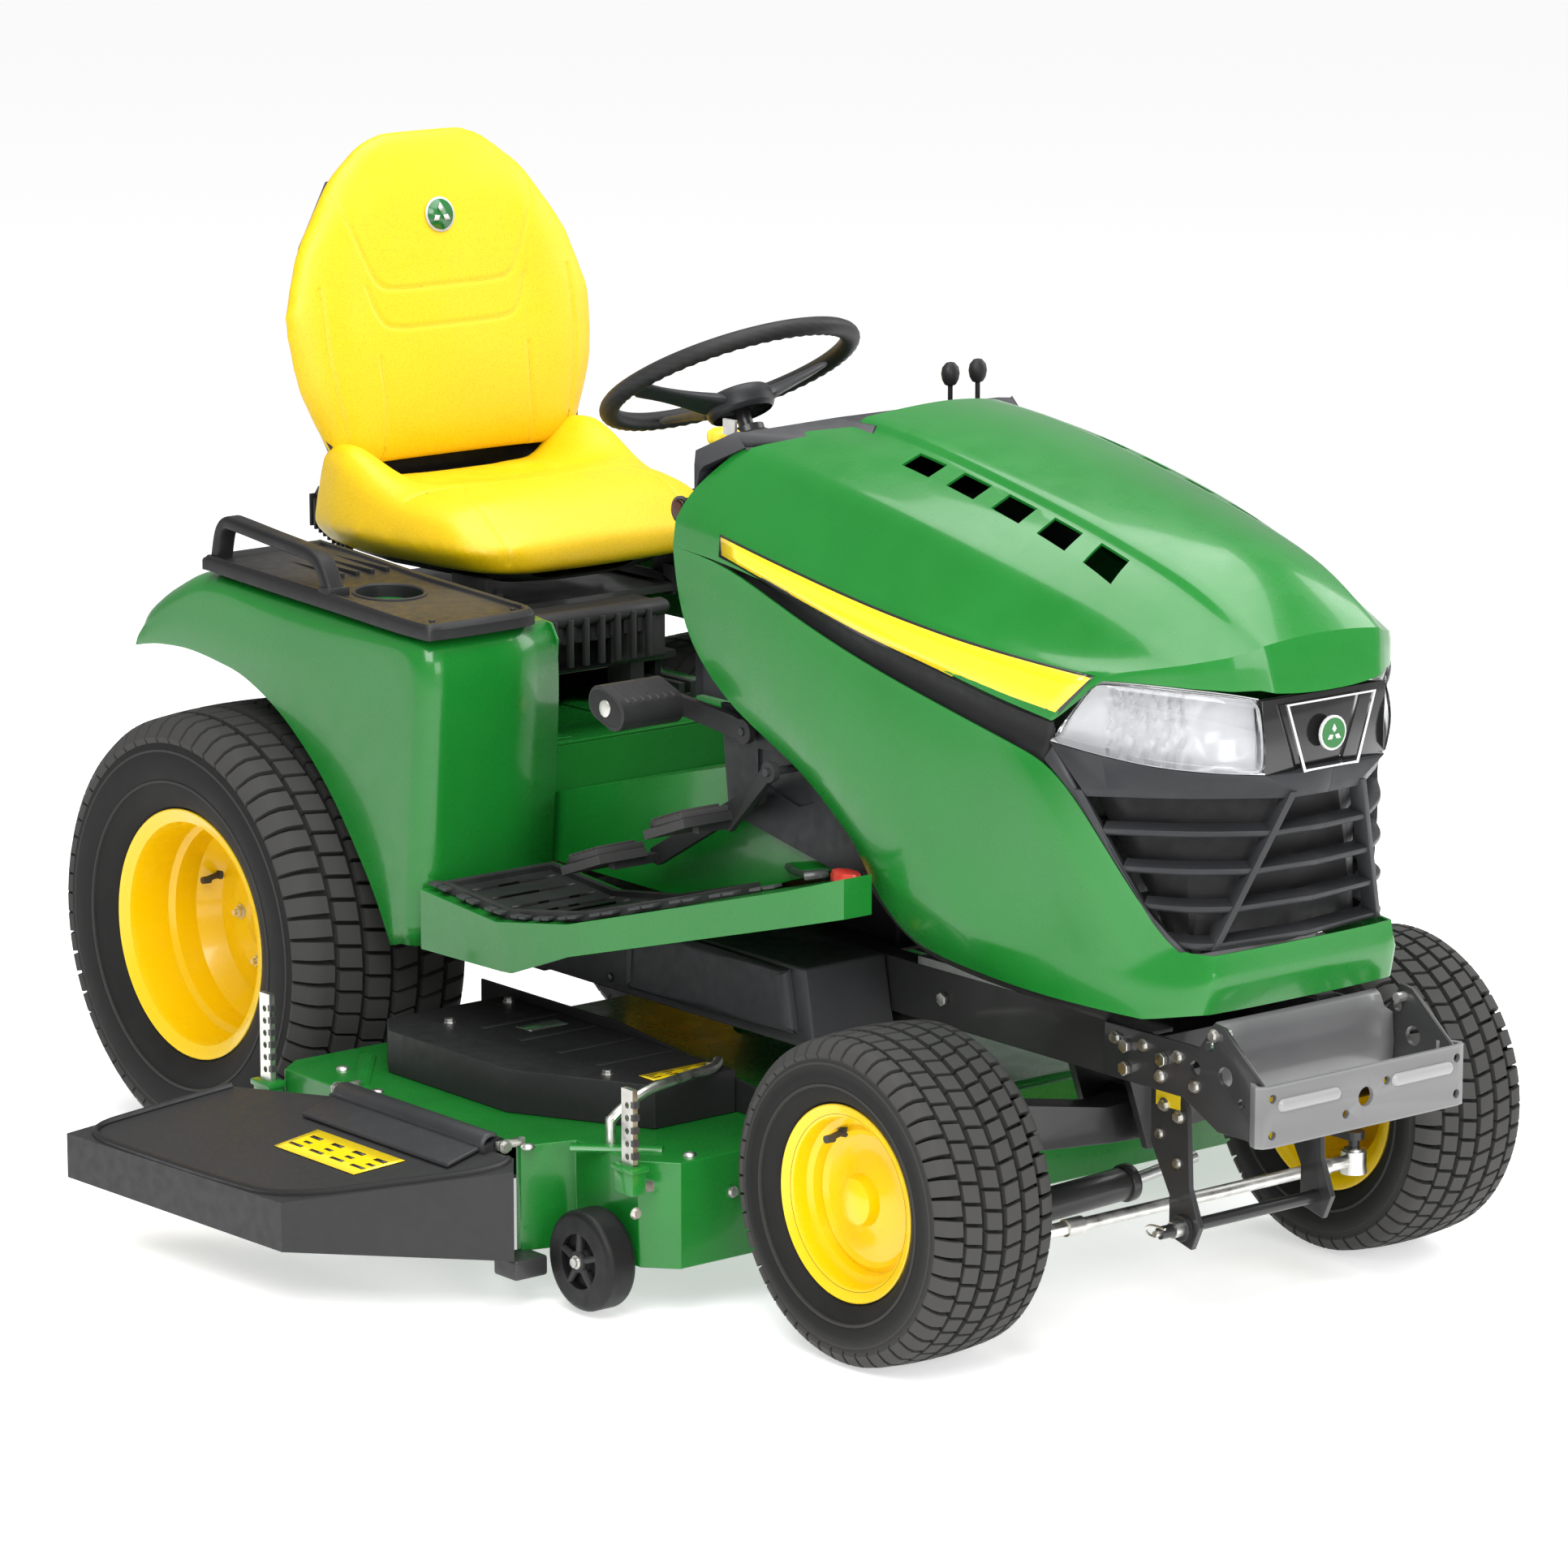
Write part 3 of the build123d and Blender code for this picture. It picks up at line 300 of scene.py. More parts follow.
def makeMetal(name, dark, light, rough=(0.25, 0.45), streak=None, cast=False, metallic=1.0):
    # bare or plated metal: streaks along one axis, or the pits of a casting
    finish, tree, shader = newFinish(name)
    place = tree.nodes.new("ShaderNodeTexCoord")
    stretch = tree.nodes.new("ShaderNodeMapping")
    stretch.inputs["Scale"].default_value = streak or (1, 1, 1)
    link(tree, place, "Object", stretch, "Vector")
    grain = tree.nodes.new("ShaderNodeTexNoise")
    grain.inputs["Scale"].default_value = 160 if cast else 60
    grain.inputs["Detail"].default_value = 6
    link(tree, stretch, "Vector", grain, "Vector")
    fade = addRange(tree, grain.outputs["Fac"], 0, 1).outputs["Result"]
    base = addMix(tree, fade, dark, light)
    tree.links.new(addMix(tree, addEdgeWear(tree, 0.4), base, light), shader.inputs["Base Color"])
    tree.links.new(addRange(tree, grain.outputs["Fac"], *rough).outputs["Result"],
                   shader.inputs["Roughness"])
    shader.inputs["Metallic"].default_value = metallic
    addBump(tree, grain.outputs["Fac"], 0.5 if cast else 0.12, 0.0006 if cast else 0.0002, shader)
    return finish


def makeRubber(name, dark, light, rough=(0.62, 0.8), dust=(0.09, 0.088, 0.085)):
    # tyre rubber: broad scuffs, a dusty bloom and a fine matt grain
    finish, tree, shader = newFinish(name)
    scuff = addNoise(tree, 14, 6, 0.6)
    base = addMix(tree, addRange(tree, scuff.outputs["Fac"], 0, 1).outputs["Result"], dark, light)
    tree.links.new(addMix(tree, addEdgeWear(tree, 0.45), base, dust), shader.inputs["Base Color"])
    tree.links.new(addRange(tree, scuff.outputs["Fac"], *rough).outputs["Result"],
                   shader.inputs["Roughness"])
    shader.inputs["Specular IOR Level"].default_value = 0.22
    addBump(tree, addNoise(tree, 700, 3).outputs["Fac"], 0.35, 0.0003, shader)
    return finish


def makeVinyl(name, dark, light, crease):
    # soft vinyl: leather-like cells and slow colour drift
    finish, tree, shader = newFinish(name)
    place = tree.nodes.new("ShaderNodeTexCoord")
    cells = tree.nodes.new("ShaderNodeTexVoronoi")
    cells.feature = "DISTANCE_TO_EDGE"
    cells.inputs["Scale"].default_value = 420
    link(tree, place, "Object", cells, "Vector")
    fine = addRange(tree, cells.outputs["Distance"], 0, 1, 0.0, 0.25).outputs["Result"]
    drift = addNoise(tree, 5)
    base = addMix(tree, addRange(tree, drift.outputs["Fac"], 0, 1).outputs["Result"], dark, light)
    tree.links.new(addMix(tree, fine, crease, base), shader.inputs["Base Color"])
    haze = addNoise(tree, 40, 4)
    tree.links.new(addRange(tree, haze.outputs["Fac"], 0.38, 0.52).outputs["Result"],
                   shader.inputs["Roughness"])
    addBump(tree, fine, 0.22, 0.0003, shader)
    return finish


def makeLens(name, tint, rough=0.03, flutes=0.0):
    # clear moulding: slight waviness
    finish, tree, shader = newFinish(name)
    shader.inputs["Base Color"].default_value = (*tint, 1)
    shader.inputs["Transmission Weight"].default_value = 1.0
    shader.inputs["Roughness"].default_value = rough
    shader.inputs["IOR"].default_value = 1.45
    ripple = addNoise(tree, 60, 2)
    addBump(tree, ripple.outputs["Fac"], 0.05, 0.0005, shader)
    return finish


finishes = {
    "green": makePaint("green_enamel", (0.006, 0.150, 0.016), (0.009, 0.185, 0.022), (0.04, 0.26, 0.06),
                       wear=0.12),
    "yellowPaint": makePaint("yellow_enamel", (0.80, 0.50, 0.0), (0.84, 0.55, 0.0), (0.90, 0.68, 0.08)),
    "blackPaint": makePaint("black_enamel", (0.010, 0.010, 0.011), (0.018, 0.018, 0.019), (0.09, 0.09, 0.09),
                            (0.32, 0.46), 0.25),
    "greyPaint": makePaint("grey_satin_steel", (0.085, 0.085, 0.088), (0.115, 0.115, 0.118),
                           (0.35, 0.35, 0.35), (0.30, 0.44), 0.2),
    "blackPlastic": makePlastic("black_plastic", (0.007, 0.007, 0.008), (0.012, 0.012, 0.013),
                                (0.042, 0.042, 0.042)),
    "greyPlastic": makePlastic("grey_plastic", (0.016, 0.017, 0.019), (0.024, 0.025, 0.028),
                               (0.08, 0.08, 0.083), (0.36, 0.50)),
    "grip": makeRubber("black_grip", (0.014, 0.014, 0.015), (0.024, 0.024, 0.025), (0.45, 0.6)),
    "tyre": makeRubber("turf_tyre", (0.007, 0.007, 0.007), (0.014, 0.014, 0.014)),
    "vinyl": makeVinyl("yellow_vinyl", (0.82, 0.54, 0.0), (0.86, 0.59, 0.001), (0.70, 0.44, 0.0)),
    "zinc": makeMetal("zinc_plated_steel", (0.50, 0.50, 0.48), (0.75, 0.74, 0.70)),
    "steel": makeMetal("brushed_steel", (0.42, 0.42, 0.42), (0.62, 0.62, 0.62), streak=(1, 1, 12)),
    "alloy": makeMetal("cast_alloy", (0.25, 0.25, 0.25), (0.42, 0.42, 0.42), (0.45, 0.65), cast=True),
    "darkIron": makeMetal("dark_iron", (0.03, 0.03, 0.03), (0.06, 0.06, 0.06), (0.45, 0.7), cast=True,
                          metallic=0.6),
    "chrome": makeMetal("bright_reflector", (0.80, 0.80, 0.82), (0.92, 0.92, 0.93), (0.06, 0.14)),
    "lampSilver": makePaint("lamp_silver", (0.62, 0.62, 0.63), (0.78, 0.78, 0.79), (0.9, 0.9, 0.9),
                            (0.10, 0.18), 0.4, 0.1),
    # the front plate's own grey steel painted paler for its embossed ribs: a painted highlight
    "ribHighlightGrey": makePaint("grey_steel_painted_highlight", (0.24, 0.24, 0.24), (0.30, 0.30, 0.30), (0.45, 0.45, 0.45),
                          (0.3, 0.4), 0.2, 0.2),
    "blackGloss": makePaint("gloss_black", (0.006, 0.006, 0.006), (0.012, 0.012, 0.012), (0.05, 0.05, 0.05),
                            (0.10, 0.16), 0.8, 0.2),
    "clearLens": makeLens("clear_lens", (0.97, 0.98, 0.99)),
    "redLens": makeLens("red_lens", (0.75, 0.03, 0.01), 0.12),
    "amberLens": makeLens("amber_lens", (0.95, 0.16, 0.01), 0.15),
    "yellowPlastic": makePlastic("yellow_plastic", (0.86, 0.62, 0.0), (0.93, 0.70, 0.0), (0.95, 0.8, 0.2),
                                 (0.25, 0.38), 500, 0.0001),
    "redPlastic": makePlastic("red_plastic", (0.55, 0.01, 0.01), (0.66, 0.02, 0.01), (0.8, 0.2, 0.15),
                              (0.25, 0.38), 500, 0.0001),
    "film": makePaint("yellow_film", (0.90, 0.62, 0.0), (0.94, 0.68, 0.005), (0.95, 0.78, 0.2),
                      (0.18, 0.28), 0.7, 0.1),
    "blackFilm": makePaint("black_film", (0.008, 0.008, 0.008), (0.014, 0.014, 0.014), (0.04, 0.04, 0.04),
                           (0.2, 0.3), 0.5, 0.1),
    "silverFilm": makePaint("silver_film", (0.50, 0.50, 0.50), (0.62, 0.62, 0.62), (0.75, 0.75, 0.75),
                            (0.2, 0.3), 0.4, 0.1),
    "greenFilm": makePaint("green_film", (0.006, 0.12, 0.02), (0.01, 0.15, 0.025), (0.04, 0.2, 0.05),
                           (0.2, 0.3), 0.5, 0.1),
}
print("finishes made")

# tyres and rims

tyreSizes = {
    "rear": {"tread": 9, "rows": (22, 66, 110), "rowWidth": 39, "lugs": 60, "edge": 118, "rowGap": 5.5},
    "front": {"tread": 7, "rows": (15, 45, 74), "rowWidth": 26, "lugs": 50, "edge": 76, "rowGap": 4},
}


def tyreCrown(x, half, radius):  # the tyre's outer radius at a distance from its middle
    t = min(abs(x) / half, 1)
    return radius - 0.035 * radius * t ** 2 - 0.15 * radius * max(t - 0.78, 0) ** 1.5


def makeTyre(end, side, body, node):
    low, high = boxMm(node)
    radius, half = (high.z - low.z) / 2, (high.x - low.x) / 2
    centre = ((low.y + high.y) / 2, (low.z + high.z) / 2)
    middle, sizes = (low.x + high.x) / 2, tyreSizes[end]
    flange = (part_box(node.replace("tyre", "rim"))[1].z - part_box(node.replace("tyre", "rim"))[0].z) * 500
    seat = (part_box(node.replace("tyre", "rim"))[1].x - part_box(node.replace("tyre", "rim"))[0].x) * 500
    floor, wall = radius - sizes["tread"], 0.14 * (radius - flange)
    # carcass: bead, sidewall rings, rounded shoulder and the groove floor
    outer = [(seat - 5, flange - 13), (seat - 5, flange + 1), (seat + 1, flange + 4),
             (half - 9, flange + 0.16 * (radius - flange)), (half - 2, flange + 0.34 * (radius - flange)),
             (half, flange + 0.47 * (radius - flange)), (half - 1, flange + 0.58 * (radius - flange)),
             (half - 4, flange + 0.70 * (radius - flange)), (half - 10, floor - 22), (half - 22, floor - 12)]
    outer += [(x, tyreCrown(x, half, floor)) for x in (half - 40, half * 0.5, half * 0.2, 0)]
    inner = [(max(x - wall, 0), max(r - (wall if r > flange + 20 else 0), flange - 13)) for x, r in outer]
    ring = outer + [(-x, r) for x, r in reversed(outer[:-1])] + [(-x, r) for x, r in inner]
    ring += [(x, r) for x, r in reversed(inner[:-1])] + [outer[0]]
    bm = bmesh.new()
    addLathe(bm, [(middle + x, r) for x, r in ring], centre, 96)
    # two raised sidewall rings on each face
    for share, lift in ((0.30, 1.6), (0.62, 1.2)):
        r = flange + share * (radius - flange)
        x = half - (3.2 if share < 0.5 else 2.6)
        for hand in (-1, 1):
            addLathe(bm, [(middle + hand * (x - 3), r - 3), (middle + hand * (x + lift), r - 1.5),
                          (middle + hand * (x + lift), r + 1.5), (middle + hand * (x - 3),
                                                                  r + 3)], centre, 96)
    turnStep = 2 * math.pi / sizes["lugs"]
    for row, x in enumerate([hand * r for r in sizes["rows"] for hand in (-1, 1)] + [0]):
        shoulder = abs(x) == sizes["rows"][-1]
        width = sizes["rowWidth"] if x else 0
        if not width:
            continue
        for lug in range(sizes["lugs"]):
            addLug(bm, x, width, (lug + 0.5 * (row // 2 % 2)) * turnStep + 0.02 * (row % 2), turnStep,
                   shoulder, middle, centre, half, radius, sizes)
    return finishPiece(bm, node + "_moulded", body, "tyre", nodes=(node,), angle=40)


def lugBlank(cuts):  # a unit block, cut across so that it can bend
    bm = bmesh.new()
    bmesh.ops.create_cube(bm, size=1)
    across = [e for e in bm.edges if abs(e.verts[0].co.x - e.verts[1].co.x) > 0.5]
    bmesh.ops.subdivide_edges(bm, edges=across, cuts=cuts)
    mesh = bpy.data.meshes.new("lug")
    bm.to_mesh(mesh)
    bm.free()
    return mesh


lugBlanks = {True: lugBlank(3), False: lugBlank(1)}


def addLug(bm, x, width, angle, turnStep, shoulder, middle, centre, half, radius, sizes):
    # one tread block, bent to the crown; shoulder lugs run down the sidewall
    first = len(bm.verts)
    bm.from_mesh(lugBlanks[shoulder])
    bm.verts.ensure_lookup_table()
    slant = 0.16 if x > 0 else -0.16
    hand = 1 if x > 0 else -1
    for v in bm.verts[first:]:
        u, t, w = v.co
        if shoulder:
            along = u * hand + 0.5  # 0 at the tread, 1 down the sidewall
            reach = abs(x) - width / 2 + along * (half - 1.5 - abs(x) + width / 2)
            rise = tyreCrown(reach, half, radius) - 0.20 * radius * max(along - 0.55, 0) ** 1.6
            place = hand * (reach - (4 if w < 0 and along > 0.6 else 0))
            r = rise - (sizes["tread"] * 1.2 if w < 0 else 0)
            share = 0.36 + 0.05 * along
        else:
            place = x + u * (width - sizes["rowGap"])
            r = tyreCrown(place, half, radius) - (sizes["tread"] * 1.3 if w < 0 else 0)
            share = 0.40
        taper = 1.0 if w > 0 else 1.12
        a = angle + t * 2 * share * turnStep * taper + slant * u * turnStep
        v.co = at(middle + place, centre[0] + r * math.sin(a), centre[1] + r * math.cos(a))


rimSizes = {
    "rear": {"dish": ((0, 4), (3, -6), (7, -14), (20, -17), (66, -18), (72, -26), (104, -28), (112, -34)),
             "disc": 392, "bolts": 5, "boltRing": 62, "boltSize": 11, "hub": 40, "cap": 0, "holes": 8},
    "front": {"dish": ((0, 3), (3, -5), (7, -12), (16, -15), (24, -16), (28, -24), (38, -27)),
              "disc": 424, "bolts": 0, "boltRing": 0, "boltSize": 0, "hub": 40, "cap": 30, "holes": 0},
}


def makeRim(end, side, body, node):
    low, high = boxMm(node)
    flange, centre = (high.z - low.z) / 2, ((low.y + high.y) / 2, (low.z + high.z) / 2)
    outerX, innerX = (high.x, low.x) if side > 0 else (low.x, high.x)
    sizes = rimSizes[end]
    discX = side * sizes["disc"]
    bm = bmesh.new()
    # rolled flange, stepped dish and disc on the outer face
    profile = [(outerX - side * (5 - 0), flange - 5), (outerX - side * 4, flange),
               (outerX - side * 1, flange),
               (outerX, flange - 1.5)]
    profile += [(outerX - side * depth, flange + drop - 4) for depth, drop in sizes["dish"][1:]]
    last = profile[-1]
    hub = sizes["hub"]
    if end == "rear":
        profile += [(discX + side * 8, last[1] - 10), (discX + side * 1, last[1] - 16),
                    (discX, last[1] - 26),
                    (discX, 84), (discX + side * 5, 80), (discX + side * 5, hub + 8), (discX + side * 2,
                                                                                       hub + 4),
                    (discX + side * 2, 24), (discX + side * 12, 22), (discX + side * 12, 0)]
    else:
        profile += [(discX + side * 6, last[1] - 6), (discX + side * 1, last[1] - 12), (discX, hub + 22),
                    (discX + side * 3, hub + 12), (discX + side * 7, hub + 3), (discX + side * 13, hub - 8),
                    (discX + side * 26, hub - 12), (discX + side * 27, hub - 14), (discX + side * 30, 20),
                    (discX + side * 32, 10), (discX + side * 32.5, 0)]
    addLathe(bm, profile, centre, 96)
    # the barrel's inner half and its flange
    back = [(discX - side * 3, 20), (discX - side * 3, last[1] - 20), (discX - side * 10, last[1] - 8),
            (innerX + side * 20, last[1] - 2), (innerX + side * 7, flange - 17), (innerX + side * 4,
                                                                                  flange - 12),
            (innerX + side * 1, flange - 2), (innerX + side * 1, flange), (innerX + side * 4, flange),
            (innerX + side * 5, flange - 8), (innerX + side * 9, flange - 15), (outerX - side * 9,
                                                                                flange - 15)]
    addLathe(bm, back, centre, 96)
    rim = finishPiece(bm, node + "_pressed", body, "yellowPaint", nodes=(node,), angle=30)
    # lug bolts, the hub's end and the valve stem
    bm = bmesh.new()
    outward = Vector((side, 0, 0))
    for bolt in range(sizes["bolts"]):
        a = 2 * math.pi * bolt / sizes["bolts"] + 0.3
        spot = at(discX + side * 5, centre[0] + sizes["boltRing"] * math.sin(a),
                  centre[1] + sizes["boltRing"] * math.cos(a))
        addHexBolt(bm, spot, outward, sizes["boltSize"] / 1000)
        addRod(bm, spot, spot + outward * 0.013, 0.005, 0.004)
    if sizes["bolts"]:
        addRod(bm, at(discX, *centre), at(discX + side * 16, *centre), 0.0145, 0.0135, 32)
        finishPiece(bm, node + "_bolts", body, "zinc")
    else:
        bm.free()
    bm = bmesh.new()
    a = 0.55 if end == "front" else 1.2
    valveR = flange - (34 if end == "front" else 48)
    foot = at(discX + side * 4, centre[0] - side * -valveR * math.sin(a) * -1,
              centre[1] + valveR * math.cos(a))
    tip = foot + outward * 0.030 + Vector((0, -0.004, -0.004))
    addRod(bm, foot, foot + outward * 0.006, 0.0075, 0.0055)
    addRod(bm, foot, tip, 0.0042, 0.0036)
    addRod(bm, tip - outward * 0.010, tip + outward * 0.002, 0.0052, 0.0048)
    finishPiece(bm, node + "_valve", body, "grip")
    return rim


for word, side in (("right", -1), ("left", 1)):
    for end in ("rear", "front"):
        wheelBody = f"{end}_wheel_{word}"
        makeTyre(end, side, wheelBody, f"{end}_tyre_{word}")
        makeRim(end, side, wheelBody, f"{end}_rim_{word}")
print("wheels made")

# hood: half of each feature line, from the rear edge to the nose

hoodLines = {
    "middle": ((0, -921, 1072), (0, -1010, 1064), (0, -1150, 1040), (0, -1300, 1010), (0, -1430, 979),
               (0, -1520, 950), (0, -1604, 882), (0, -1616, 815)),
    "crown": ((62, -914, 1067), (62, -1010, 1059), (62, -1150, 1034), (62, -1300, 1003), (60, -1430, 971),
              (56, -1520, 941), (52, -1603, 880), (48, -1615, 816)),
    "ridge": ((108, -896, 1058), (110, -1010, 1049), (110, -1150, 1023), (108, -1300, 991),
              (106, -1430, 956),
              (101, -1515, 927), (92, -1600, 875), (84, -1611, 820)),
    "channelIn": ((120, -889, 1046), (122, -1010, 1036), (122, -1150, 1010), (120, -1300, 978),
                  (117, -1430, 944), (110, -1512, 916), (105, -1594, 869), (100, -1602, 824)),
    "channelOut": ((168, -850, 1040), (168, -985, 1030), (168, -1120, 1005), (165, -1260, 974),
                   (156, -1390, 938), (144, -1480, 903), (130, -1579, 862), (127, -1584, 823)),
    "shoulder": ((222, -800, 1022), (230, -945, 1008), (230, -1080, 985), (224, -1220, 954),
                 (209, -1340, 920),
                 (188, -1440, 886), (165, -1546, 853), (163, -1549, 826)),
    "side": ((262, -744, 966), (272, -890, 948), (272, -1045, 924), (264, -1185, 897), (249, -1305, 871),
             (226, -1415, 852), (200, -1506, 845), (198, -1508, 830)),
    "stripeTop": ((277, -731, 926), (285, -840, 920), (287, -1000, 897), (283, -1140, 876),
                  (273, -1270, 858),
                  (255, -1372, 845), (230, -1466, 838), (229, -1470, 832)),
    "stripeLow": ((279, -728, 892), (286, -838, 888), (289, -985, 866), (288, -1110, 842), (281, -1230, 818),
                  (268, -1330, 794), (252, -1405, 778), (250, -1408, 774)),
}
panelLines = {
    "top": ((279, -728, 892), (286, -838, 887), (289, -970, 842), (287, -1105, 804), (280, -1225, 775),
            (266, -1345, 744), (252, -1394, 728)),
    "upper": ((281, -736, 850), (289, -850, 828), (293, -985, 792), (292, -1110, 756), (286, -1230, 722),
              (262, -1384, 700), (242, -1436, 692)),
    "middle": ((281, -757, 776), (290, -870, 756), (295, -985, 728), (295, -1105, 694), (288, -1235, 655),
               (250, -1424, 634), (222, -1470, 632)),
    "lower": ((281, -851, 699), (289, -930, 694), (295, -1010, 676), (295, -1120, 640), (287, -1245, 598),
              (234, -1446, 580), (200, -1489, 585)),
    "belly": ((280, -978, 656), (287, -1022, 644), (292, -1080, 620), (292, -1165, 583), (282, -1275, 545),
              (216, -1464, 530), (178, -1507, 542)),
    "crease": ((277, -1079, 575), (283, -1106, 565), (287, -1146, 548), (285, -1216, 520), (270, -1320, 492),
               (198, -1480, 486), (156, -1540, 508)),
    "foot": ((270, -1125, 502), (274, -1148, 499), (276, -1186, 492), (272, -1246, 480), (256, -1340, 462),
             (196, -1490, 455), (160, -1575, 478)),
    "hem": ((258, -1168, 468), (260, -1196, 463), (260, -1236, 457), (254, -1300, 449), (236, -1385, 437),
            (186, -1500, 424), (160, -1568, 438)),
}
chinLines = {
    "top": ((156, -1540, 508), (146, -1577, 509), (80, -1584, 510), (0, -1585, 510)),
    "face": ((160, -1575, 478), (146, -1582, 478), (80, -1587, 478), (0, -1588, 478)),
    "hem": ((160, -1568, 438), (146, -1571, 437), (80, -1573, 436), (0, -1573, 436)),
}
hoodTrim = {"wall": 3.0, "slots": 5, "slotStart": -1052, "slotStep": 81, "slotSize": (50, 37)}


def addLines(bm, lines, creased=(), columns=(), sharpness=0.75):
    # skins a set of feature lines, and creases some lines and some stations
    layer = bm.edges.layers.float.get("crease_edge") or bm.edges.layers.float.new("crease_edge")
    rows = [addRing(bm, [at(*p) for p in points], closed=False) for points in lines.values()]
    for one, two in zip(rows, rows[1:]):
        bmesh.ops.bridge_loops(bm, edges=one + two)
    for name, row in zip(lines, rows):
        if name in creased:
            for edge in row:
                edge[layer] = sharpness
    for column in columns:
        posts = [(row[column - 1] if column else row[0]) for row in rows]
        points = [at(*points[column]) for points in lines.values()]
        for edge in bm.edges:
            ends = [min((v.co - p).length for p in points) for v in edge.verts]
            if max(ends) < 0.0001 and edge not in posts:
                edge[layer] = sharpness


def mirrorHalf(bm):  # the other side of the tractor
    grown = bmesh.ops.duplicate(bm, geom=bm.verts[:] + bm.edges[:] + bm.faces[:])
    copies = [g for g in grown["geom"] if isinstance(g, bmesh.types.BMVert)]
    for v in copies:
        v.co.x = 2 * middleX - v.co.x
    bmesh.ops.reverse_faces(bm, faces=[g for g in grown["geom"] if isinstance(g, bmesh.types.BMFace)])
    bmesh.ops.remove_doubles(bm, verts=bm.verts, dist=0.00005)


def faceOutwards(bm, centre):  # turns an open skin's faces away from a point inside it
    bmesh.ops.recalc_face_normals(bm, faces=bm.faces)
    score = sum((f.calc_center_median() - centre).dot(f.normal) * f.calc_area() for f in bm.faces)
    if score < 0:
        bmesh.ops.reverse_faces(bm, faces=bm.faces)


def bakeModifiers(piece):  # the piece's mesh becomes what its modifiers make
    depsgraph = bpy.context.evaluated_depsgraph_get()
    depsgraph.update()
    mesh = bpy.data.meshes.new_from_object(piece.evaluated_get(depsgraph), depsgraph=depsgraph)
    piece.modifiers.clear()
    piece.data = mesh
    mesh.set_sharp_from_angle(angle=math.radians(32))
    return piece


def cutAway(piece, cutter):  # subtracts the cutter mesh from the piece
    bmesh.ops.recalc_face_normals(cutter, faces=cutter.faces)
    mesh = bpy.data.meshes.new("cutter")
    cutter.to_mesh(mesh)
    cutter.free()
    tool = bpy.data.objects.new("cutter", mesh)
    bpy.context.scene.collection.objects.link(tool)
    cut = piece.modifiers.new("cut", "BOOLEAN")
    cut.object, cut.operation, cut.solver = tool, "DIFFERENCE", "EXACT"
    bpy.context.view_layer.update()
    bakeModifiers(piece)
    bpy.data.objects.remove(tool)
    return piece


def skinTree(*pieces):  # what a label or trim is laid on
    joined = bmesh.new()
    depsgraph = bpy.context.evaluated_depsgraph_get()
    depsgraph.update()
    for piece in pieces:
        mesh = piece.evaluated_get(depsgraph).to_mesh()
        joined.from_mesh(mesh)
    tree = BVHTree.FromBMesh(joined)
    joined.free()
    return tree


def layOn(bm, tree, toward, lift, reach=0.15):  # drops a patch onto a skin, lift above it
    toward = toward.normalized()
    for v in bm.verts:
        spot, normal, index, distance = tree.ray_cast(v.co - toward * reach, toward, 2 * reach)
        if spot:
            v.co = spot - toward * lift


def addStrip(bm, upper, lower, cuts=3, across=4):  # a patch between two lines of points
    addLoft(bm, [upper, lower], closed=False)
    along = [e for e in bm.edges if any(abs((e.verts[0].co - p).length) < 1e-6 for p in upper + lower)]
    bmesh.ops.subdivide_edges(bm, edges=along, cuts=cuts, use_grid_fill=True)


def splinePoints(points, count):  # evenly spread points on a smooth line through the given ones
    points = [Vector(p) for p in points]
    ends = [2 * points[0] - points[1]] + points + [2 * points[-1] - points[-2]]
    made = []
    for i in range(count):
        t = i / (count - 1) * (len(points) - 1)
        k = min(int(t), len(points) - 2)
        f = t - k
        a, b, c, d = ends[k:k + 4]
        made.append(0.5 * ((2 * b) + (c - a) * f + (2 * a - 5 * b + 4 * c - d) * f ** 2
                           + (3 * b - a - 3 * c + d) * f ** 3))
    return made


hoodInside = at(0, -1200, 700)


def makeHood():
    bm = bmesh.new()
    addLines(bm, hoodLines, ("ridge", "channelIn", "channelOut", "shoulder", "stripeTop"), (6,), 0.55)
    addLines(bm, panelLines, ("crease",), (5,), 0.6)
    addLines(bm, chinLines, ("face",), (1,), 0.6)
    bmesh.ops.remove_doubles(bm, verts=bm.verts, dist=0.00005)
    mirrorHalf(bm)
    faceOutwards(bm, hoodInside)
    hood = finishPiece(bm, "hood_shell_moulded", "hood", "green", nodes=("hood_shell",), smooth=2,
                       outward=False)
    wallUp(hood, hoodTrim["wall"] / 1000)
    # five slanted slots down each channel
    cutter = bmesh.new()
    long, wide = hoodTrim["slotSize"]
    for hand in (-1, 1):
        for slot in range(hoodTrim["slots"]):
            y = hoodTrim["slotStart"] - slot * hoodTrim["slotStep"]
            x = hand * (145 - 0.018 * (hoodTrim["slotStart"] - y))
            addPlate(cutter, [at(x + hand * u, y + v, 1100) for u, v in
                              ((-wide / 2, long / 2 + 4), (wide / 2, long / 2 - 4),
                               (wide / 2, -long / 2 - 4), (-wide / 2,
                                                           -long / 2 + 4))], Vector((0, 0, -0.22)))
    return cutAway(hood, cutter)


hood = makeHood()
hoodSkin = skinTree(hood)
hoodSlotShade = bmesh.new()  # dark sheet under the slots: painted shade for the inside of the hood
for hand in (-1, 1):
    addLoft(hoodSlotShade, [[at(hand * x, y, z - 46) for y, z in
                         ((-1060, 1030), (-1150, 1008), (-1300, 970), (-1400, 945))] for x in (108, 172)],
            closed=False)
wallUp(finishPiece(hoodSlotShade, "hood_slot_shade_sheet", "hood", "blackPlastic"), 0.002)


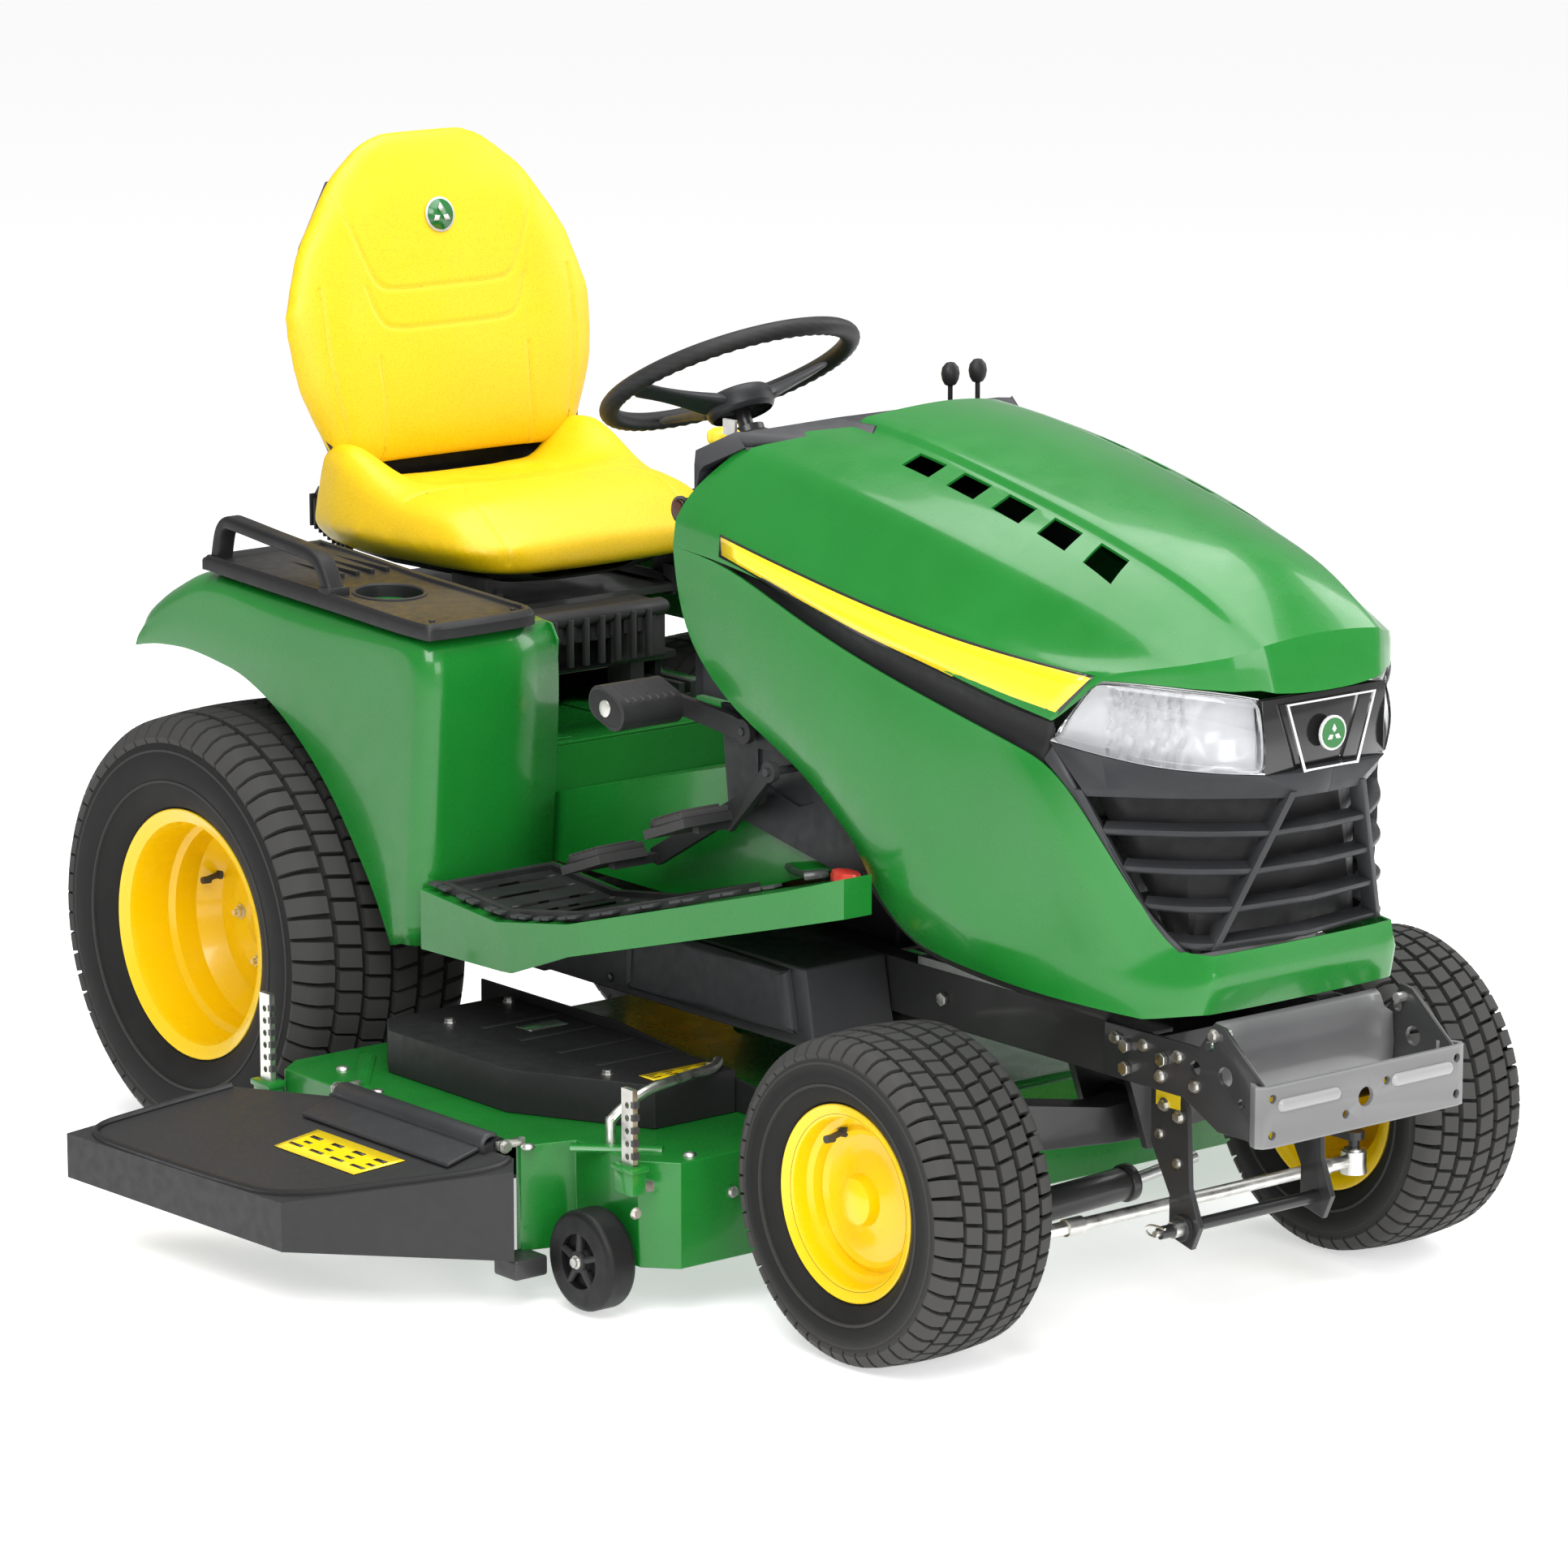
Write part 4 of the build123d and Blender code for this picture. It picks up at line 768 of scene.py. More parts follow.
def makeStripes():
    # yellow band with a dark border, over a black recess
    top = [(288, -829, 918), (290, -985, 893), (290, -1120, 872), (280, -1250, 855), (262, -1360, 843),
           (236, -1456, 833)]
    low = [(288, -833, 896), (290, -985, 865), (290, -1110, 840), (280, -1230, 816), (265, -1330, 792),
           (250, -1402, 777)]
    slot = [(288, -850, 872), (290, -975, 832), (290, -1105, 796), (282, -1225, 767), (266, -1345, 737),
            (252, -1390, 724)]
    for hand, word in ((-1, "right"), (1, "left")):
        for name, finish, slotName, grow, lift, upper, lower in (
                ("stripe_border", "blackFilm", "black_plastic", 3.0, 0.5, top, low),
                ("stripe_band", "film", "yellow_film", 0, 1.0, top, low)):
            bm = bmesh.new()
            up = splinePoints([(hand * x, y, z + grow) for x, y, z in upper], 24)
            down = splinePoints([(hand * x, y, z - grow) for x, y, z in lower], 24)
            if grow > 0:
                up[0].y = down[0].y = up[0].y + grow
                up[-1].y, down[-1].y = up[-1].y - grow * 1.6, down[-1].y - grow * 1.6
            rings = [[at(*p) for p in up], [at(*p) for p in down]]
            rings = [[a.lerp(b, t / 4) for a, b in zip(*rings)] for t in range(5)]
            addLoft(bm, rings, closed=False)
            layOn(bm, hoodSkin, Vector((-hand, 0, 0)), lift / 1000, 0.06)
            for v in bm.verts:  # keep the free edge beside the recess close to the shell
                v.co.x = middleX + hand * min(abs(v.co.x - middleX), 0.2925)
            faceOutwards(bm, hoodInside)
            nodes = ("side_stripes",) if name == "stripe_band" and hand < 0 else ()
            wallUp(finishPiece(bm, f"{name}_{word}", "hood", finish, slotName, nodes, outward=False),
                   0.0004)
        bm = bmesh.new()
        rows = []
        for t in range(5):
            inset = (1.0, 9, 11, 9, 1.0)[t]
            line = [Vector(a).lerp(Vector(b), t / 4) for a, b in zip(low, slot)]
            rows.append([at(hand * (p.x - inset - 3.5), p.y, p.z + (2 if t == 0 else -2 if t == 4 else 0))
                         for p in splinePoints(line, 24)])
        addLoft(bm, rows, closed=False)
        faceOutwards(bm, hoodInside)
        wallUp(finishPiece(bm, f"stripe_recess_{word}", "hood", "blackPlastic", outward=False), 0.002)


makeStripes()
print("hood made")

# nose: surround, grille bars, headlights and badge

lampTop = ((232, -1463, 830), (200, -1506, 828), (165, -1546, 824), (130, -1578, 819), (101, -1601, 813))
lampLow = ((246, -1400, 751), (222, -1462, 741), (185, -1517, 731), (140, -1568, 726), (97, -1610, 725))
noseSizes = {"bars": (512, 556, 601, 646, 692), "thick": 8, "depth": 24, "backing": 34}


def sidePoint(z):  # the grille's outer edge
    t = max(z - 508, 0) / (700 - 508)
    return Vector((158 + 84 * t ** 0.92, -1518 + 66 * t, z))


def cornerPoint(z):  # where the side grille meets the middle one
    t = (700 - z) / 192
    return Vector((56 + 78 * t, -1615 + 50 * t, z))


def grilleLine(z, hand, inset=0):  # from the outer edge round to the middle
    side, corner = sidePoint(z), cornerPoint(z)
    middle = (side + corner) / 2 + Vector((6, -8, 0))
    front = Vector((0, -1618 + 36 * (700 - z) / 192, z))
    points = splinePoints([side, middle, corner], 9)
    outward = [Vector((0.85, -0.5, 0)), Vector((0.6, -0.8, 0)), Vector((0.4, -0.9, 0))]
    made = [p - outward[min(i // 4, 2)] * inset for i, p in enumerate(points)]
    made += [corner.lerp(front, t) + Vector((0, inset, 0)) for t in (0.34, 0.67, 1.0)]
    return [at(hand * p.x, p.y, p.z) for p in made]


def makeGrille():
    sizes = noseSizes
    bm = bmesh.new()
    for hand in (-1, 1):
        for z in sizes["bars"]:
            thick = sizes["thick"] if z < 690 else 30
            shape = ((0, thick * 0.35), (0, thick), (sizes["depth"], thick + 5), (sizes["depth"], -2),
                     (2.5, 0))
            rings = [[a for a in grilleLine(z + lift, hand, inset)] for inset, lift in shape]
            if z > 690:
                lowLine = [at(hand * p.x, p.y, p.z) for p in splinePoints(lampLow, 9)]
                for ring, inset in ((rings[1], 2), (rings[2], sizes["depth"])):
                    for i in range(9):
                        ring[i] = lowLine[i] + Vector((-hand * inset * 0.0006, inset * 0.0008, -0.002))
            addLoft(bm, [list(r) for r in zip(*rings)], capped=True)
        for side in (True, False):  # the posts at the outer edge and at the corner
            rings = []
            for z in (512, 556, 601, 646, 700):
                p = sidePoint(z) if side else cornerPoint(z)
                wide = 9
                out = Vector((0.72, -0.69, 0)) if side else Vector((0.25, -0.97, 0))
                tangent = Vector((out.y, -out.x, 0)) * -1
                lift = 1.5 if not side else 0
                ring = [p + out * lift + tangent * (wide if side else wide / 2) * s for s in
                        ((0, 1) if side else (-1, 1))]
                ring += [r - out * 20 for r in reversed(ring)]
                rings.append([at(hand * r.x, r.y, r.z) for r in ring])
            addLoft(bm, rings, capped=True)
    faceOutwards(bm, hoodInside)
    softenEdges(bm, 0.0012, 2, 35)
    finishPiece(bm, "grille_moulded", "hood", "greyPlastic", nodes=("grille",))
    # dark backing sheet, a painted shade for the inside of the nose, so that nothing inside shows
    bm = bmesh.new()
    rows = [grilleLine(z, 1, sizes["backing"]) for z in (500, 560, 620, 680, 730)]
    addLoft(bm, rows, closed=False)
    mirrorHalf(bm)
    faceOutwards(bm, hoodInside)
    wallUp(finishPiece(bm, "grille_shade_backing", "hood", "blackPlastic", outward=False), 0.002)
    # surround: a dark band between the green panel's front edge and the grille
    bm = bmesh.new()
    edge = [Vector(line[-1]) for line in list(panelLines.values())[:6]]
    inner = [Vector((238, -1412, 738))] + [sidePoint(z) for z in (690, 634, 588, 545, 510)]
    inner[0] = Vector((243, -1404, 748))
    rings = []
    for i, (a, b) in enumerate(zip(edge, inner)):
        middle = (a + b) / 2
        rings.append([at(*(a + Vector((-3, 3, 0)))), at(*(a + Vector((0, -1.5, 0)))),
                      at(*(middle + Vector((2.5, -2.5, 0)))), at(*(b + Vector((0.5, -0.5, 0)))),
                      at(*(b + Vector((-12, 14, 0))))])
    addLoft(bm, rings, closed=False)
    mirrorHalf(bm)
    faceOutwards(bm, hoodInside)
    wallUp(finishPiece(bm, "grille_surround", "hood", "greyPlastic", smooth=1, outward=False), 0.002)


def makeHeadlights():
    for hand, word in ((-1, "right"), (1, "left")):
        top, low = splinePoints(lampTop, 13), splinePoints(lampLow, 13)

        def rows(inset, puff, shrink):
            made = []
            for t in (shrink, 0.25, 0.5, 0.75, 1 - shrink):
                line = []
                for i, (a, b) in enumerate(zip(top, low)):
                    p = a.lerp(b, t)
                    out = Vector((0.78 - 0.035 * i, -0.5 - 0.035 * i, 0)).normalized()
                    line.append(at(*[hand * c if k == 0 else c for k, c in enumerate(
                        p + out * (puff * math.sin(math.pi * t) - inset))]))
                made.append(line)
            return made
        bm = bmesh.new()
        addLoft(bm, rows(1.0, 9, 0.0), closed=False)
        faceOutwards(bm, hoodInside)
        nodes = ("headlight_lenses",) if hand < 0 else ()
        lens = finishPiece(bm, f"headlight_lens_{word}", "hood", "clearLens", "clear_lens", nodes,
                           smooth=1, outward=False)
        wallUp(lens, 0.0025)
        # reflector: a bright tray with flutes across its middle and one smooth bowl at the inner end
        bm = bmesh.new()
        addLoft(bm, rows(20, 0, 0.03), closed=False)
        bmesh.ops.subdivide_edges(bm, edges=bm.edges[:], cuts=3, use_grid_fill=True)
        start, end = at(hand * 240, -1430, 780), at(hand * 98, -1606, 770)
        run = end - start
        bm.normal_update()
        out = Vector((hand * 0.6, -0.8, 0))
        for v in bm.verts:
            t = (v.co - start).dot(run) / run.length_squared
            h = (v.co.z - 0.775) / 0.05
            if 0.18 < t < 0.62:
                v.co += out * 0.0045 * math.sin((t + 0.03 * h * h) * 2 * math.pi * 17)
            elif t >= 0.62:
                bowl = ((t - 0.80) / 0.17) ** 2 + (h / 0.8) ** 2
                v.co -= out * 0.016 * max(0, 1 - bowl)
        faceOutwards(bm, hoodInside)
        nodes = ("headlight_reflectors",) if hand < 0 else ()
        wallUp(finishPiece(bm, f"headlight_reflector_{word}", "hood", "lampSilver", "reflector",
                           nodes, outward=False, angle=60), 0.0015)
        # white walls between the lens and the reflector
        bm = bmesh.new()
        for near, far in zip(rows(2.0, 0, 0.0)[0::4], rows(21, 0, 0.03)[0::4]):
            addLoft(bm, [near, far], closed=False)
        wallUp(finishPiece(bm, f"headlight_housing_{word}", "hood", "lampSilver"), 0.0015, 0)


def makeBadge():
    # black trapezoid between the lamps, a thin bright frame and a plain rounded mark
    bm = bmesh.new()
    outline = ((100, 812), (96, 724), (60, 700), (0, 700))
    plate = [(-x, z) for x, z in outline] + [(x, z) for x, z in reversed(outline[:-1])]
    addPlate(bm, [at(x, -1612 - (812 - z) * 0.012 + abs(x) * 0.07, z) for x, z in plate],
             Vector((0, 0.012, 0)))
    softenEdges(bm, 0.0015, 2, 40)
    finishPiece(bm, "badge_plate", "hood", "blackGloss")
    frameShape = ((-72, 806), (-44, 722), (44, 722), (72, 806))
    bm = bmesh.new()
    outer = [at(x, -1618 + abs(x) * 0.05, z) for x, z in frameShape]
    middle = sum(outer, Vector()) / 4
    inner = [p + (middle - p).normalized() * 0.0045 for p in outer]
    push = Vector((0, -0.003, 0))
    addLoft(bm, [outer, [p + push for p in outer], [p + push for p in inner], inner])
    finishPiece(bm, "badge_frame", "hood", "chrome")
    for name, size, front, finish, slotName in (("badge_mark_rim", 21, -1621, "silverFilm", "grey_plastic"),
                                                ("badge_mark_field", 18, -1622, "greenFilm", "green_paint")):
        bm = bmesh.new()
        addPlate(bm, [at(x * size / 21, front, 764 + z * size / 21) for x, z in roundedSquare(21, 21, 21)],
                 Vector((0, 0.003, 0)))
        finishPiece(bm, name, "hood", finish, slotName)
    bm = bmesh.new()
    for turn in range(3):  # three plain leaves
        a = math.radians(90 + 120 * turn)
        leaf = [(2, 0), (6, 3.2), (12, 0), (6, -3.2)]
        addPlate(bm, [at(x * math.cos(a) - z * math.sin(a), -1623,
                         763 + x * math.sin(a) + z * math.cos(a)) for x, z in leaf], Vector((0, 0.002, 0)))
    finishPiece(bm, "badge_mark_leaves", "hood", "silverFilm")


def roundedSquare(halfX, halfZ, corner, steps=5):
    made = []
    for cx, cz, start in ((1, 1, 0), (-1, 1, 90), (-1, -1, 180), (1, -1, 270)):
        for i in range(steps + 1):
            a = math.radians(start + 90 * i / steps)
            made.append((cx * (halfX - corner) + corner * math.cos(a),
                         cz * (halfZ - corner) + corner * math.sin(a)))
    return made


makeGrille()
makeHeadlights()
makeBadge()
print("nose made")

# seat

seatSizes = {
    "base": (0, 102, 862), "lean": math.radians(9.5), "pressure": 1.3, "voxel": 0.006, "frames": 12,
    "half": ((-6, 186), (40, 216), (120, 250), (214, 260), (306, 228), (396, 164), (440, 108), (466, 44)),
}


def backPoint(u, v, w):  # across, up and forwards on the leaning back
    base, lean = seatSizes["base"], seatSizes["lean"]
    return at(u, base[1] + v * math.sin(lean) - w * math.cos(lean),
              base[2] + v * math.cos(lean) + w * math.sin(lean))


def between(table, value):  # straight-line reading of a table of pairs
    for (a, p), (b, q) in zip(table, table[1:]):
        if value <= b:
            return p + (q - p) * max(0, value - a) / (b - a)
    return table[-1][1]


def easeIn(low, high, value):
    t = min(1, max(0, (value - low) / (high - low)))
    return t * t * (3 - 2 * t)


def relax(piece, times):
    bm = bmesh.new()
    bm.from_mesh(piece.data)
    for turn in range(times):
        bmesh.ops.smooth_vert(bm, verts=bm.verts, factor=0.5, use_axis_x=True, use_axis_y=True,
                              use_axis_z=True)
    bm.to_mesh(piece.data)
    bm.free()


def puffUp(piece, reach):  # cloth with air pressure, each point kept within reach
    remesh = piece.modifiers.new("voxels", "REMESH")
    remesh.mode, remesh.voxel_size = "VOXEL", seatSizes["voxel"]
    bakeModifiers(piece)
    relax(piece, 6)
    start = [v.co.copy() for v in piece.data.vertices]
    cloth = piece.modifiers.new("air", "CLOTH")
    cloth.settings.quality = 5
    cloth.settings.use_pressure = True
    cloth.settings.uniform_pressure_force = seatSizes["pressure"]
    cloth.settings.effector_weights.gravity = 0
    cloth.settings.tension_stiffness = cloth.settings.compression_stiffness = 60
    cloth.settings.bending_stiffness = 12
    cloth.point_cache.frame_start, cloth.point_cache.frame_end = 1, seatSizes["frames"]
    for step in range(1, seatSizes["frames"] + 1):
        bpy.context.scene.frame_set(step)
    bakeModifiers(piece)
    bpy.context.scene.frame_set(1)
    for v, rest in zip(piece.data.vertices, start):
        move = v.co - rest
        if move.length > reach:
            v.co = rest + move.normalized() * reach
    relax(piece, 8)
    piece.data.shade_smooth()
    return piece


def sewIn(piece, lines, depth, width):  # presses narrow channels along the lines
    bm = bmesh.new()
    bm.from_mesh(piece.data)
    bm.normal_update()
    spots = [p for line in lines for p in line]
    tree = KDTree(len(spots))
    for i, p in enumerate(spots):
        tree.insert(p, i)
    tree.balance()
    for v in bm.verts:
        near, index, distance = tree.find(v.co)
        if distance < width:
            v.co -= v.normal * depth * (1 - easeIn(0, width, distance))
    bm.to_mesh(piece.data)
    bm.free()


def seamLine(tree, points, toward, lift=0.0):  # a line of points dropped onto the pad
    toward = toward.normalized()
    dropped = []
    for p in splinePoints(points, max(8, len(points) * 14)):
        spot = tree.ray_cast(p - toward * 0.12, toward, 0.3)[0]
        if spot:
            dropped.append(spot - toward * lift)
    return dropped


def makeSeatBack():
    bm = bmesh.new()
    rings = []
    count = 26
    for i in range(count):
        v = 8 + 448 * (0.5 - 0.5 * math.cos(math.pi * i / (count - 1)))
        half = between(seatSizes["half"], v) + 1
        swell = (1 - abs(2 * (v - 8) / 448 - 1) ** 8) ** 0.5 if 0 < i < count - 1 else 0.25
        swell = max(swell, 0.25)
        ring = []
        for j in range(29):
            t = -1 + 2 * j / 28
            roll = easeIn(0.52, 0.80, abs(t)) * 12 * (1 - easeIn(330, 430, v))
            waist = 8 * math.exp(-((v - 130) / 90) ** 2) * (1 - abs(t))
            front = (14 + 4 * (1 - t * t) + roll + waist) * (1 - abs(t) ** 7) ** 0.5
            ring.append(backPoint(half * t, v, -4 + front * swell))
        for j in range(1, 14):
            t = 1 - 2 * j / 14
            ring.append(backPoint(half * t, v, -4 - 30 * swell * (1 - abs(t) ** 10) ** 0.5))
        rings.append(ring)
    addLoft(bm, rings, capped=True)
    pad = finishPiece(bm, "seat_back_pad", "seat", "vinyl", nodes=("seat_back",))
    puffUp(pad, 0.022)
    front = Vector((0, math.cos(seatSizes["lean"]), -math.sin(seatSizes["lean"])))
    tree = skinTree(pad)
    shapes = [
        [(-168, 372), (-150, 330), (-120, 262), (-104, 246), (-80, 242), (0, 241), (80, 242), (104, 246),
         (120, 262), (150, 330), (168, 372)],
        [(-132, 246), (-118, 208), (-92, 190), (0, 188), (92, 190), (118, 208), (132, 246)],
        [(-124, 150), (-122, 90), (-124, 14)], [(124, 150), (122, 90), (124, 14)],
        [(-208, 250), (-206, 150), (-190, 60), (-178, 14)], [(208, 250), (206, 150), (190, 60), (178, 14)],
    ]
    lines = [seamLine(tree, [backPoint(u, v, 60) for u, v in shape], front) for shape in shapes]
    skin = pad.modifiers.new("smooth", "SUBSURF")
    skin.levels = skin.render_levels = 1
    bakeModifiers(pad)
    sewIn(pad, lines, 0.0022, 0.0055)
    pad.data.set_sharp_from_angle(angle=math.radians(60))
    makeStitches(pad, lines, front, "seat_back_stitches")
    return pad


def makeStitches(pad, lines, toward, name):  # short threads along the seams
    tree = skinTree(pad)
    bm = bmesh.new()
    for line in lines:
        dropped = [tree.ray_cast(p - toward * 0.05, toward, 0.1)[0] for p in line]
        dropped = [p - toward * 0.0001 for p in dropped if p]
        for a, b in list(zip(dropped, dropped[1:])):
            addRod(bm, a, b, 0.0005, steps=5)
    return finishPiece(bm, name, "seat", "thread")


def cushionTop(x, y):
    # waterfall front, shallow dish and side bolsters rising towards the back
    rise = 88 * easeIn(-80, 90, y) * easeIn(0.5, 0.9, abs(x) / 244)
    dish = -8 * math.exp(-(x / 130) ** 2) * easeIn(-150, -40, y)
    fall = -52 * (1 - easeIn(-240, -140, y))
    return 858 + rise + dish + fall + 6 * easeIn(-140, -90, y) * (1 - easeIn(-60, 0, y))


def makeSeatCushion():
    halves = ((-234, 150), (-224, 196), (-190, 224), (-120, 240), (0, 252), (60, 252), (122, 238))
    bm = bmesh.new()
    rings = []
    for i in range(24):
        y = -234 + 356 * i / 23
        half = between(halves, y) - 5
        ring = []
        for j in range(27):
            t = -1 + 2 * j / 26
            top = cushionTop(half * t, y)
            ring.append(at(half * t, y, 800 + (top - 800) * (1 - abs(t) ** 6) ** 0.5))
        for j in range(1, 13):
            t = 1 - 2 * j / 13
            ring.append(at(half * t, y, 800 - 36 * (1 - abs(t) ** 10) ** 0.5))
        rings.append(ring)
    addLoft(bm, rings, capped=True)
    pad = finishPiece(bm, "seat_cushion_pad", "seat", "vinyl", nodes=("seat_cushion",))
    puffUp(pad, 0.012)
    tree = skinTree(pad)
    down = Vector((0, 0, -1))
    lines = [seamLine(tree, [at(x, -92 + 0.0007 * x * x, 960) for x in (-205, -120, 0, 120, 205)], down)]
    back = Vector((0, 1, 0))
    for side in (-1, 1):
        corner = [at(side * 158, -340, z) for z in (784, 805, 826)]
        lines.append(seamLine(tree, corner, back))
        lines.append(seamLine(tree, [at(side * 158, -206, 960), at(side * 154, -130, 960),
                                     at(side * 138, -96, 960)], down))
    skin = pad.modifiers.new("smooth", "SUBSURF")
    skin.levels = skin.render_levels = 1
    bakeModifiers(pad)
    sewIn(pad, lines, 0.0018, 0.0055)
    pad.data.set_sharp_from_angle(angle=math.radians(60))
    makeStitches(pad, lines[:1], down, "seat_cushion_stitches")
    return pad


def makeSeatShell():
    # a deep rear shell wrapping the back's lower edge, with ribs at the hip
    bm = bmesh.new()
    rings = []
    for i in range(16):
        v = -26 + 420 * i / 15
        half = between(seatSizes["half"], v) - 14 + 14 * (1 - easeIn(-20, 110, v))
        wrap = -14 + 22 * (1 - easeIn(10, 110, v))
        ring = []
        for j in range(25):
            t = -1 + 2 * j / 24
            ring.append(backPoint(half * t, v, -60 + (wrap + 60) * abs(t) ** 9))
        rings.append(ring)
    addLoft(bm, rings, closed=False)
    shell = finishPiece(bm, "seat_back_shell", "seat", "blackPlastic", nodes=("seat_shell",))
    wallUp(shell, 0.004, 0)
    bm = bmesh.new()
    pan = ((-190, 120, 176), (-176, 196, 170), (-100, 224, 163), (0, 236, 160), (90, 232, 158),
           (150, 214, 168), (186, 180, 190))
    rings = []
    for y, half, low in pan:
        lift = 40 * easeIn(20, 150, y)
        ring = [at(half * 0.9 * t, y + 14, 752 + (40 + lift) * abs(t) ** 8 - 8 * (1 - abs(t) ** 3))
                for t in [-1 + j / 10 for j in range(21)]]
        rings.append(ring)
    addLoft(bm, rings, closed=False)
    pan = finishPiece(bm, "seat_pan", "seat", "blackPlastic")
    wallUp(pan, 0.004, 0)
    bm = bmesh.new()
    for side in (-1, 1):
        for k in range(9):
            y = 60 + k * 13
            addBox(bm, sorted((side * (206 - k * 2), side * (218 - k * 2))), (y, y + 4),
                   (762 + k * 3, 790 + k * 5))
        addBox(bm, sorted((side * 163, side * 175)), (-196, -120), (716, 760))
        addHexBolt(bm, at(side * 175, -180, 728), Vector((side, 0, 0)), 0.011)
    softenEdges(bm, 0.0012)
    finishPiece(bm, "seat_shell_ribs", "seat", "blackPlastic")
    # a black block in the gap between the back and the cushion: painted shade for the gap
    bm = bmesh.new()
    addBox(bm, (-100, 100), (92, 150), (816, 846))
    softenEdges(bm, 0.006, 3)
    finishPiece(bm, "seat_gap_shade_block", "seat", "blackPlastic")


def makeSeatMark():
    # a small plain round badge sewn to the upper panel
    tree = skinTree(bpy.data.objects["seat_back_pad"])
    front = Vector((0, math.cos(seatSizes["lean"]), -math.sin(seatSizes["lean"])))
    for name, radius, finish, slotName, lift in (("seat_mark_rim", 24, "silverFilm", "grey_plastic", 0.001),
                                                 ("seat_mark_field", 21, "greenFilm", "green_paint",
                                                  0.0018)):
        bm = bmesh.new()
        bmesh.ops.create_circle(bm, cap_ends=True, segments=40, radius=radius / 1000)
        bmesh.ops.subdivide_edges(bm, edges=bm.edges, cuts=1)
        middle = backPoint(0, 336, 60)
        turn = (-front).to_track_quat("Z", "Y").to_matrix().to_4x4()
        bmesh.ops.transform(bm, verts=bm.verts, matrix=Matrix.Translation(middle) @ turn)
        layOn(bm, tree, front, lift)
        made = finishPiece(bm, name, "seat", finish, slotName)
        wallUp(made, 0.0012, 1)
    bm = bmesh.new()
    for turnBy in (90, 210, 330):
        a = math.radians(turnBy)
        leaf = [(3, 0), (9, 4.4), (16, 0), (9, -4.4)]
        addPlate(bm, [backPoint(x * math.cos(a) - z * math.sin(a),
                                336 + x * math.sin(a) + z * math.cos(a), 60)
                      for x, z in leaf], front * 0.001)
    layOn(bm, tree, front, 0.0045)
    made = finishPiece(bm, "seat_mark_leaves", "seat", "silverFilm")
    wallUp(made, 0.001, 1)


finishes["thread"] = makeRubber("seam_thread", (0.62, 0.44, 0.0), (0.74, 0.54, 0.0), (0.6, 0.7),
                                (0.8, 0.6, 0.1))
makeSeatBack()
makeSeatCushion()
makeSeatShell()
makeSeatMark()
print("seat made")

# fenders, consoles and platform

fenderSizes = {
    "inner": 250, "outer": 460, "round": 34, "steps": 7, "count": 61,
    "top": ((207, 650), (206, 676), (196, 698), (132, 738), (48, 768), (-100, 765), (-250, 759), (-380, 754),
            (-424, 749), (-444, 732), (-452, 700), (-452, 640), (-446, 560), (-438, 460), (-426, 348)),
    "low": ((206, 647), (198, 649), (184, 652), (150, 657), (87, 660), (20, 654), (-45, 642), (-120, 610),
            (-185, 566), (-236, 520), (-280, 470), (-330, 404), (-366, 341)),
}


def fenderLine(pairs, x):
    return [(p.y, p.z, x) for p in splinePoints([(0, y, z) for y, z in pairs], fenderSizes["count"])]


def makeFender(word, side):
    # one skin over the wheel with a rolled shoulder, its outer face drawn down to the arch
    top = fenderLine(fenderSizes["top"], 0)
    low = fenderLine(fenderSizes["low"], 0)
    middle = (-170, 560)
    bm = bmesh.new()
    rings = []
    radius = fenderSizes["round"]
    xs = [fenderSizes["inner"], 330, 400, fenderSizes["outer"] - radius]
    shrink = [0, 0, 0, 0]
    for i in range(1, fenderSizes["steps"] + 1):
        a = math.pi / 2 * i / fenderSizes["steps"]
        xs.append(fenderSizes["outer"] - radius + radius * math.sin(a))
        shrink.append(radius * (1 - math.cos(a)))
    for x, inset in zip(xs, shrink):
        ring = []
        for i, (y, z, none) in enumerate(top):
            ease = easeIn(0, 8, i)
            to = Vector((middle[0] - y, middle[1] - z)).normalized() * inset * ease
            if i > 46:
                to = Vector((inset, 0))
            ring.append(at(side * x, y + to.x, z + to.y))
        rings.append(ring)
    edge = rings[-1]
    for share, bulge in ((0.12, 0), (0.5, 1), (0.9, 0), (1.0, -1)):
        ring = []
        for p, (y, z, none) in zip(edge, low):
            goal = at(side * fenderSizes["outer"], y, z)
            spot = p.lerp(goal, share)
            spot.x += side * bulge * 0.0015
            ring.append(spot)
        rings.append(ring)
    lip = [Vector((p.x - side * 0.012, p.y, p.z)) for p in rings[-1]]
    rings.append(lip)
    addLoft(bm, rings, closed=False)
    faceOutwards(bm, at(side * 330, -150, 450))
    skin = finishPiece(bm, "fender_skin_" + word, "chassis", "green", outward=False, angle=50)
    wallUp(skin, 0.003)
    return skin


def makePlatform():
    bm = bmesh.new()
    for side in (-1, 1):
        wall = [(-449, 728), (-436, 748), (-380, 752), (48, 767), (132, 737), (196, 697), (206, 676),
                (206, 640),
                (-300, 640), (-345, 345), (-426, 348)]
        addPlate(bm, [at(side * 246, y, z) for y, z in wall], Vector((side * 0.004, 0, 0)))
    addBox(bm, (-246, 246), (-343, 201), (560, 564))
    addBox(bm, (-246, 246), (-343, -339), (440, 560))
    addBox(bm, (-246, 246), (197, 201), (420, 690))
    for x in (-150, 0, 150):
        addBox(bm, (x - 14, x + 14), (-330, 190), (564, 567))
    softenEdges(bm, 0.0025, 2, 40)
    evenNormals(finishPiece(bm, "seat_platform", "chassis", "green", nodes=("fender_deck",)))


def evenNormals(piece):  # keeps wide faces flat beside rounded edges
    even = piece.modifiers.new("even", "WEIGHTED_NORMAL")
    even.keep_sharp = True
    return piece


consoleSizes = {"x": (274, 456), "y": (-449, 44), "cup": (370, -250, 45), "lip": 5.5}


